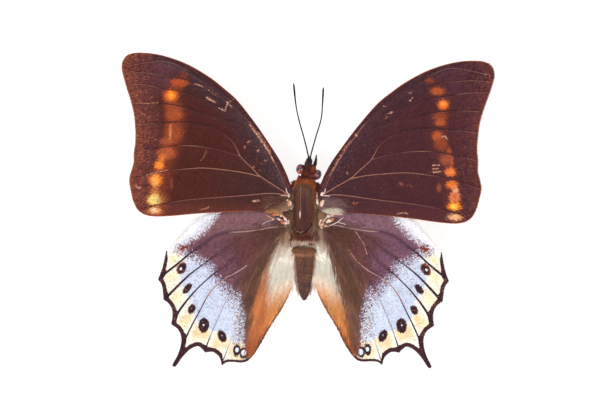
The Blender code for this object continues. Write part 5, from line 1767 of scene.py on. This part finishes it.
for side in ("left", "right"):
    roots = pick(hind, 9500, inner_density)
    ways = streaming(roots, (1.0, 2.0), (0.1, -1.0) if side == "left" else (-0.04, -1.0), 0.65)
    lengths = kept_inside(hind, roots, ways, dice.uniform(1.8, 4.0, len(roots)))
    y = roots[:, 1]
    outermost = ramp(towards_belly(roots, HAIR_EDGE), 1.6, -0.4) * ramp(y, -24, -18)
    tip_gap = nearest(hind.rear, roots + ways * lengths[:, None])[0]
    mixed = layered(hair_ground(roots + dice.normal(0, 0.35, roots.shape), side), (120, 78, 76, outermost),
                    (84, 50, 42, ramp(tip_gap, 0.4, 0.15) * ramp(y, -20, -25) * 0.8))
    wing_hair("hair_inner", hind, side, roots, ways, lengths, 0.05, mixed, 2.3, 0.15, pale=0.03, bend=-0.02)
    roots = pick(hind, 2600, base_density)
    ways = streaming(roots, (1.5, -1.5), (0.6, -0.8), 0.2)
    lengths = dice.uniform(1.0, 2.0, len(roots))
    colours = base_colour(roots + ways * lengths[:, None] * 0.6, side)
    wing_hair("hair_base", hind, side, roots, ways, lengths, 0.045, colours, 6, 0.16, pale=0.04)
    roots = pick(fore, 2400, fore_root_density)
    ways = streaming(roots, (1.5, 1.4), (0.8, -0.6), 0.25)
    lengths = dice.uniform(0.8, 1.7, len(roots))
    colours = fore_root_colour(roots, side)
    wing_hair("hair_fore", fore, side, roots, ways, lengths, 0.04, colours, 6, 0.22, pale=0.1)
    fringe_hair(fore, side, 92, 52, 44)
    fringe_hair(hind, side, 60, 36, 42)

# %% [markdown]
# ## Eyes, feelers, palps, tongue and legs
#
# These are hard parts, so they stay pieces of their own. Tubes are swept along the same routes as in the
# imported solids, with rings of changing size: close rings for the feelers' segments, waists at the leg
# joints.


# %% Swept tubes
def add_tube(shape, path, sizes, sides=10, floor=None):
    """A closed tube along a path, its radius given at shares of its length."""
    path = np.array(path, float)
    along = np.concatenate([[0], np.cumsum(np.linalg.norm(np.diff(path, axis=0), axis=1))])
    shares, radii = zip(*sizes)
    radii = np.interp(along / along[-1], shares, radii)
    runs = unit(np.gradient(path, axis=0))
    across = np.cross(runs, np.array([0.0, 0.0, 1.0]))
    steep = np.linalg.norm(across, axis=1) < 0.08
    across[steep] = np.cross(runs[steep], np.array([0.0, 1.0, 0.0]))
    across = unit(across)
    above = np.cross(across, runs)
    rings = []
    for centre, radius, side_way, up_way in zip(path, radii, across, above):
        angle = 2 * math.pi * (np.arange(sides) + 0.5) / sides
        ring = centre + (np.cos(angle)[:, None] * side_way + np.sin(angle)[:, None] * up_way) * radius
        if floor is not None:
            ring[:, 2] = np.maximum(ring[:, 2], floor)
        rings.append(ring)
    add_loft(shape, rings)


def tinted(mesh, colours):
    store(mesh, "tint", np.column_stack([colours, np.ones(len(colours))]))
    return mesh


feeler_material = shell_material("feeler_shell", 0.5, 0.1, 12000.0, 0.00002)
leg_material = shell_material("leg_shell", 0.45, 0.4, 9000.0, 0.00003)
plate_material = shell_material("hinge_plates", 0.35, 0.4, 5000.0, 0.00003)

# %% Eyes
eye_material, eye_recipe, eye_shader = tinted_material(
    "eye_glass", 0.2, 0.4, coat_weight=0.35, coat_roughness=0.06,
)
facets = eye_recipe.add("TexVoronoi", {"Vector": eye_recipe.place(), "Scale": 16000.0, "Randomness": 0.25})
eye_recipe.bump(eye_shader, facets.outputs["Distance"], 0.25, 0.00001, invert=True)

# Painted highlights on each eye, pale and tinted, and a dark centre among the right eye's highlights: place,
# radius, colour
EYE_GLINTS = {
    "left": [(-1.6, 9.9, 0.13, (196, 180, 150)), (-1.05, 9.98, 0.17, (220, 222, 218)),
             (-1.55, 10.5, 0.17, (160, 104, 122)), (-2.0, 9.3, 0.13, (226, 124, 100))],
    "right": [(2.62, 8.75, 0.2, (176, 138, 140)), (3.15, 8.5, 0.14, (196, 156, 160)),
              (2.95, 9.5, 0.24, (118, 82, 94)), (2.9, 8.52, 0.12, (40, 20, 26))],
}

for side, place in EYE_PLACES.items():
    eye_shape = bmesh.new()
    add_egg(eye_shape, in_head(place), [h - 0.01 for h in EYE_HALF], HEAD_TURN, sides=48, rings=32)
    mesh = finish_shape(eye_shape, "eye")
    points = mesh_points(mesh)
    x, y = points[:, 0], points[:, 1] + 0.1 * np.sin(7 * points[:, 0])
    if side == "left":
        colours = layered(plain(points, 98, 46, 60), (38, 22, 24, ramp(np.abs(y - 9.85), 0.4, 0.15)),
                          (206, 84, 48, ramp(np.abs(y - 9.25), 0.4, 0.2)), (124, 76, 38, ramp(y, 9.0, 8.8)))
    else:
        colours = layered(plain(points, 86, 46, 58), (46, 8, 16, ramp(x, 3.2, 3.6)),
                          (120, 56, 44, ramp(y, 7.9, 7.5) * ramp(x, 3.4, 3.0)))
    # the painted highlights are laid over each eye's own colours
    glints = [(*shade, glow(points[:, :2], glint_x, glint_y, radius))
              for glint_x, glint_y, radius, shade in EYE_GLINTS[side]]
    tinted(mesh, layered(colours, *glints))
    settle(f"eye_{side}_dressed", mesh, eye_material, [f"eye_{side}"])

# %% Feelers
ANTENNA_ROUTES = {
    "left": [(0.45, 10.1, 8.2), (0.5, 11.6, 9.0), (0.58, 13.3, 9.5), (-0.6, 18.0, 9.9), (-2.0, 22.7, 10.0),
             (-2.9, 26.7, 9.9), (-3.6, 32.4, 9.6)],
    "right": [(1.3, 10.1, 8.2), (1.2, 11.6, 9.0), (1.12, 13.4, 9.5), (2.5, 18.8, 9.9), (3.7, 23.2, 10.0),
              (4.0, 27.2, 9.9), (4.15, 31.5, 9.6)],
}
ANTENNA_SEGMENTS = 46
ANTENNA_SIZES = [(0.0, 0.26), (0.06, 0.24), (0.14, 0.2), (0.7, 0.18), (0.8, 0.2), (0.9, 0.27),
                 (0.97, 0.26), (1.0, 0.1)]


def ringed(sizes, rings, depth):
    """A radius table with a waist between each two rings."""
    shares, radii = zip(*sizes)
    table = []
    for ring in range(rings):
        for within, size in ((0.0, 1 - depth), (0.25, 1.0), (0.8, 1.0), (0.99, 1 - depth)):
            share = (ring + within) / rings
            table.append((share, float(np.interp(share, shares, radii)) * size))
    return [*table, (1.0, radii[-1])]


for side, route in ANTENNA_ROUTES.items():
    feeler_shape = bmesh.new()
    add_tube(feeler_shape, smooth_run(route, 0.12), ringed(ANTENNA_SIZES, ANTENNA_SEGMENTS, 0.16))
    mesh = finish_shape(feeler_shape, "feeler")
    points = mesh_points(mesh)
    colours = layered(plain(points, 26, 17, 20), (52, 36, 42, ramp(points[:, 1], 14, 10)),
                      (22, 16, 18, ramp(points[:, 1], 27, 30)))
    settle(f"antenna_{side}_dressed", tinted(mesh, colours), feeler_material, [f"antenna_{side}"])

# %% Palps and tongue
PALP_ROUTE = [(1.05, 0.9, -1.0), (1.1, 2.0, -1.1), (1.05, 3.0, -0.6), (0.85, 4.2, 0.4)]
PALP_SIZES = [(0.0, 0.4), (0.3, 0.46), (0.6, 0.32), (0.85, 0.17), (1.0, 0.06)]
PALP_REACH = {"left": 0.86, "right": 1.06}
COIL_CENTRE = (1.95, -2.35)
COIL_ASIDE = -0.35
COIL_RADIUS = 1.25
COIL_PITCH = 0.68
COIL_TURNS = 1.2
COIL_START = 140.0
COIL_TUBE = 0.25
COIL_STEPS = 120
COIL_RING_SIZES = (0.88, 1.0, 0.97)  # of three rings in a row
COIL_CORNERS = 12

palp_way = np.array(HEAD_TURN @ Vector((0.0, 1.0, 0.25)))
for side, sign in OUTWARDS.items():
    palp_shape = bmesh.new()
    route = smooth_run([(sign * x, y * PALP_REACH[side], z) for x, y, z in PALP_ROUTE], 0.25)
    add_tube(palp_shape, [in_head(p) for p in route], PALP_SIZES, sides=12)
    mesh = finish_shape(palp_shape, "palp")
    roots, normals = Ground(mesh).scatter(1500, lambda p, n: ramp(p[:, 1], 10.6, 11.4))
    flows = lean(normals, np.tile(palp_way, (len(roots), 1)), 14, 0.12)
    colours = layered(plain(roots, 78, 42, 40), (150, 92, 64, ramp(normals[:, 2], 0.2, -0.4)))
    lengths = dice.uniform(0.3, 0.55, len(roots))
    places = np.column_stack([(roots[:, 0] + 5) / 10, (roots[:, 1] - 9) / 7])
    tufts(f"coat_palp_{side}", roots, normals, flows, lengths, 0.035, toned(colours, 0.2), places)
    facing = mesh_normals(mesh)[:, 2]
    colours = layered(plain(facing, 80, 44, 40), (150, 96, 70, ramp(facing, 0.2, -0.4)))
    settle(f"palp_{side}_dressed", tinted(mesh, colours), leg_material, [f"palp_{side}"])

coil = [(COIL_ASIDE, 0.6, -0.9)]
for turns in np.linspace(0, COIL_TURNS, COIL_STEPS):
    angle = math.radians(COIL_START - 360 * turns)
    radius = COIL_RADIUS - COIL_PITCH * turns
    ahead, above = COIL_CENTRE
    coil.append((COIL_ASIDE, ahead + radius * math.cos(angle), above + radius * math.sin(angle)))
coil = np.array([in_head(p) for p in coil])
coil_sizes = np.interp(np.arange(len(coil)) % 3, range(3), COIL_RING_SIZES)
tongue_across = np.array(HEAD_TURN @ Vector((1, 0, 0)))
coil_angle = 2 * math.pi * np.arange(COIL_CORNERS) / COIL_CORNERS
coil_rings = []
for place, run, size in zip(coil, unit(np.gradient(coil, axis=0)), coil_sizes):
    out = np.cross(run, tongue_across)
    spread = np.cos(coil_angle)[:, None] * tongue_across + np.sin(coil_angle)[:, None] * out
    coil_rings.append(place + spread * COIL_TUBE * 0.98 * size)
tongue_shape = bmesh.new()
add_loft(tongue_shape, coil_rings)
mesh = finish_shape(tongue_shape, "tongue")
tongue = tinted(mesh, plain(mesh.vertices, 96, 56, 38))
settle("proboscis_dressed", tongue, feeler_material, ["proboscis"])

# %% Legs
FOOT_Z = 0.22
KNEE_ROUNDING = 0.9
MID_LEG = [(1.5, 0.8, 3.6), (2.3, 1.1, 2.9), (8.2, 3.3, 6.0), (11.8, 5.2, 0.5), (12.6, 5.6, FOOT_Z),
           (16.2, 7.6, FOOT_Z)]
HIND_LEG = [(1.5, -3.8, 3.6), (2.3, -4.2, 2.9), (7.9, -8.0, 6.0), (11.2, -12.6, 0.5), (11.8, -13.4, FOOT_Z),
            (14.6, -17.2, FOOT_Z)]
FORE_LEG = [(1.2, 5.6, 4.5), (1.4, 6.3, 3.6), (1.95, 8.6, 3.9), (1.75, 8.2, 1.9), (1.6, 7.0, 1.4)]
WALKING_SIZES = [
    (0.0, 0.55), (0.1, 0.38), (0.13, 0.46), (0.25, 0.5), (0.36, 0.34), (0.4, 0.26), (0.43, 0.32),
    (0.52, 0.34), (0.66, 0.26), (0.7, 0.2), (0.715, 0.26), (0.8, 0.2), (0.81, 0.25), (0.86, 0.19),
    (0.87, 0.24), (0.92, 0.18), (0.93, 0.24), (0.97, 0.17), (0.98, 0.22), (1.0, 0.1),
]
FORE_SIZES = [(0.0, 0.4), (0.4, 0.34), (0.58, 0.2), (0.64, 0.25), (0.95, 0.22), (1.0, 0.1)]


def rounded_path(corners, reach, step):
    """A path with each corner rounded over a reach, and long straight runs divided."""
    corners = [Vector(c) for c in corners]
    path = [corners[0]]
    for before, corner, after in zip(corners, corners[1:], corners[2:]):
        start = corner + (before - corner).normalized() * min(reach, (corner - before).length * 0.45)
        end = corner + (after - corner).normalized() * min(reach, (after - corner).length * 0.45)
        for t in (0.0, 0.2, 0.4, 0.6, 0.8, 1.0):
            path.append(start.lerp(corner, t).lerp(corner.lerp(end, t), t))
    path.append(corners[-1])
    divided = [path[0]]
    for a, b in zip(path, path[1:]):
        count = max(1, round((b - a).length / step))
        divided += [a.lerp(b, (i + 1) / count) for i in range(count)]
    return np.array(divided)


def add_leg(shape, joints, sizes, walking):
    """A leg along its joints. A walking leg also has two claws and rows of small spines."""
    path = rounded_path(joints, KNEE_ROUNDING, 0.16)
    add_tube(shape, path, sizes, sides=12, floor=0.02 if walking else None)
    if not walking:
        return
    up = Vector((0, 0, 1))
    foot, before = Vector(path[-1]), Vector(path[-8])
    ahead = (foot - before).normalized()
    across = ahead.cross(up)
    for sign in (-1, 1):
        claw = [foot - ahead * 0.1, foot + ahead * 0.15 + across * sign * 0.12 + Vector((0, 0, 0.04)),
                foot + ahead * 0.2 + across * sign * 0.2 - Vector((0, 0, 0.12))]
        claw_path = smooth_run([tuple(p) for p in claw], 0.06)
        add_tube(shape, claw_path, [(0, 0.07), (1, 0.015)], sides=6, floor=0.01)
    for share in np.arange(0.46, 0.97, 0.025):
        at = int(share * len(path))
        root = Vector(path[at])
        run = (Vector(path[at + 1]) - root).normalized()
        beside = run.cross(up).normalized()
        for sign in (-1, 1):
            tip = root + run * 0.34 + beside * sign * 0.4 - Vector((0, 0, 0.06))
            spine = [tuple(root + beside * sign * 0.12), tuple(root.lerp(tip, 0.6)), tuple(tip)]
            add_tube(shape, spine, [(0, 0.045), (1, 0.012)], sides=5, floor=0.01)


for side, sign in OUTWARDS.items():
    for name, joints, sizes in (("midleg", MID_LEG, WALKING_SIZES), ("hindleg", HIND_LEG, WALKING_SIZES),
                                ("foreleg", FORE_LEG, FORE_SIZES)):
        leg_shape = bmesh.new()
        add_leg(leg_shape, [(sign * x, y, z) for x, y, z in joints], sizes, name != "foreleg")
        mesh = finish_shape(leg_shape, name)
        height = mesh_points(mesh)[:, 2]
        colours = layered(plain(height, 112, 76, 58), (150, 118, 96, ramp(height, 4.5, 2.5)),
                          (84, 54, 44, ramp(height, 1.4, 0.6)))
        settle(f"{name}_{side}_dressed", tinted(mesh, colours), leg_material, [f"{name}_{side}"])

# %% [markdown]
# ### Hinge plates
#
# Each wing turns on a few small hard plates between it and the thorax. They shine pink, white and orange
# in the picture: their pale pink, cream and white colours are partly their own and partly painted highlight.
# The broad ones are flattened eggs with an uneven surface, the narrow ones short bent rods.

# %% Hinge plates
FORE_ROOT_Z = 9.95
HIND_ROOT_Z = 8.75
# the pale pink, cream and white plate colours are partly the plates' own and partly painted highlight
PINK = (236, 206, 202)
CREAM = (244, 230, 206)
ORANGE = (210, 116, 66)
SALMON = (226, 156, 126)
# Flat plates: place, half sizes, turn in degrees, colour
PLATES = [
    (4.28, 3.7, 0.4, 0.5, 10, PINK), (4.3, 1.3, 0.5, 0.95, -20, CREAM), (3.1, 1.6, 0.3, 0.8, 10, SALMON),
    (6.4, -0.9, 1.5, 0.45, -32, CREAM), (8.7, -1.4, 1.5, 0.28, 4, (222, 200, 176)),
    (6.5, -1.9, 1.15, 0.4, 22, ORANGE), (6.5, -3.2, 1.2, 0.45, 24, (226, 212, 212)),
    (4.0, -3.1, 0.4, 0.35, 0, CREAM), (3.75, -4.1, 0.32, 0.65, 0, ORANGE),
    (4.55, -4.2, 0.6, 0.4, 20, (238, 204, 182)), (5.45, -4.6, 0.55, 0.32, 10, SALMON),
    (4.3, -4.95, 0.4, 0.4, 0, (232, 190, 164)), (-4.3, 3.15, 0.3, 0.45, 0, (170, 176, 172)),
    (-4.7, 1.95, 0.28, 0.32, 0, PINK), (-4.1, 1.1, 0.6, 0.8, 0, (168, 132, 106)),
    (-7.2, -1.75, 1.5, 0.4, 6, (206, 140, 84)), (-6.1, -2.1, 0.5, 0.3, 0, ORANGE),
    (-5.2, -2.8, 0.35, 0.85, 40, (240, 226, 222)), (-8.4, -3.1, 0.34, 0.26, 0, PINK),
    (-5.3, -4.0, 0.9, 0.4, -8, SALMON), (-4.2, -3.7, 0.32, 0.65, 0, ORANGE),
    (-6.6, -3.1, 0.8, 0.3, -20, (206, 178, 176)),
]
# Rods: route, radius, colour
RODS = [
    ([(3.0, 4.1), (3.0, 2.9), (3.4, 2.0)], 0.13, PINK),
    ([(4.7, 3.2), (5.5, 3.3), (6.4, 3.2)], 0.15, (208, 204, 200)),
    ([(4.5, 3.6), (5.0, 4.3), (5.2, 5.2)], 0.13, PINK),
    ([(6.0, -4.75), (8.3, -3.6), (10.1, -2.2)], 0.12, PINK),
    ([(8.3, -3.6), (9.4, -3.75), (10.7, -4.15)], 0.1, PINK),
    ([(4.6, -3.6), (5.4, -2.6), (6.0, -1.4)], 0.12, PINK),
    ([(-4.6, -3.7), (-5.2, -2.9), (-5.8, -2.2)], 0.16, (246, 236, 232)),
    ([(-10.2, -1.95), (-9.2, -2.5), (-8.3, -3.3)], 0.11, SALMON),
    ([(-11.2, -4.5), (-9.9, -3.7), (-8.4, -3.3)], 0.1, (206, 182, 180)),
    ([(-4.4, 3.2), (-5.4, 3.1), (-6.6, 3.2)], 0.12, (206, 168, 146)),
    ([(-4.4, 3.5), (-4.9, 4.3), (-5.1, 5.2)], 0.12, PINK),
]


def root_level(y):
    """The height just over the wings' roots."""
    return HIND_ROOT_Z + (FORE_ROOT_Z - HIND_ROOT_Z) * float(ramp(np.array(y), -1.3, -0.5))


plate_shape = bmesh.new()
plate_colours = []


def colour_new(known, colour):
    """Gives the points added since then their colour."""
    plate_colours.extend([paint(*colour)] * (len(plate_shape.verts) - known))


for x, y, half_x, half_y, turn, colour in PLATES:
    known = len(plate_shape.verts)
    spin = Matrix.Rotation(math.radians(turn), 3, "Z")
    middle = (x, y, root_level(y) - 0.02)
    for v in add_egg(plate_shape, middle, (half_x, half_y, 0.2), spin, sides=20, rings=12):
        rise = 0.4 * math.sin(11 * v.co.x - 7 * v.co.y)
        v.co += Vector((math.sin(9 * v.co.y + x), math.sin(8 * v.co.x + y), rise)) * 0.09
    colour_new(known, colour)
for route, radius, colour in RODS:
    known = len(plate_shape.verts)
    path = smooth_run([(x, y, root_level(y)) for x, y in route], 0.12)
    add_tube(plate_shape, path, [(0, 0.6 * radius), (0.3, radius), (0.8, 0.9 * radius), (1, 0.4 * radius)])
    colour_new(known, colour)
mesh = finish_shape(plate_shape, "plates")
settle("hinge_plates", tinted(mesh, np.array(plate_colours)), plate_material)
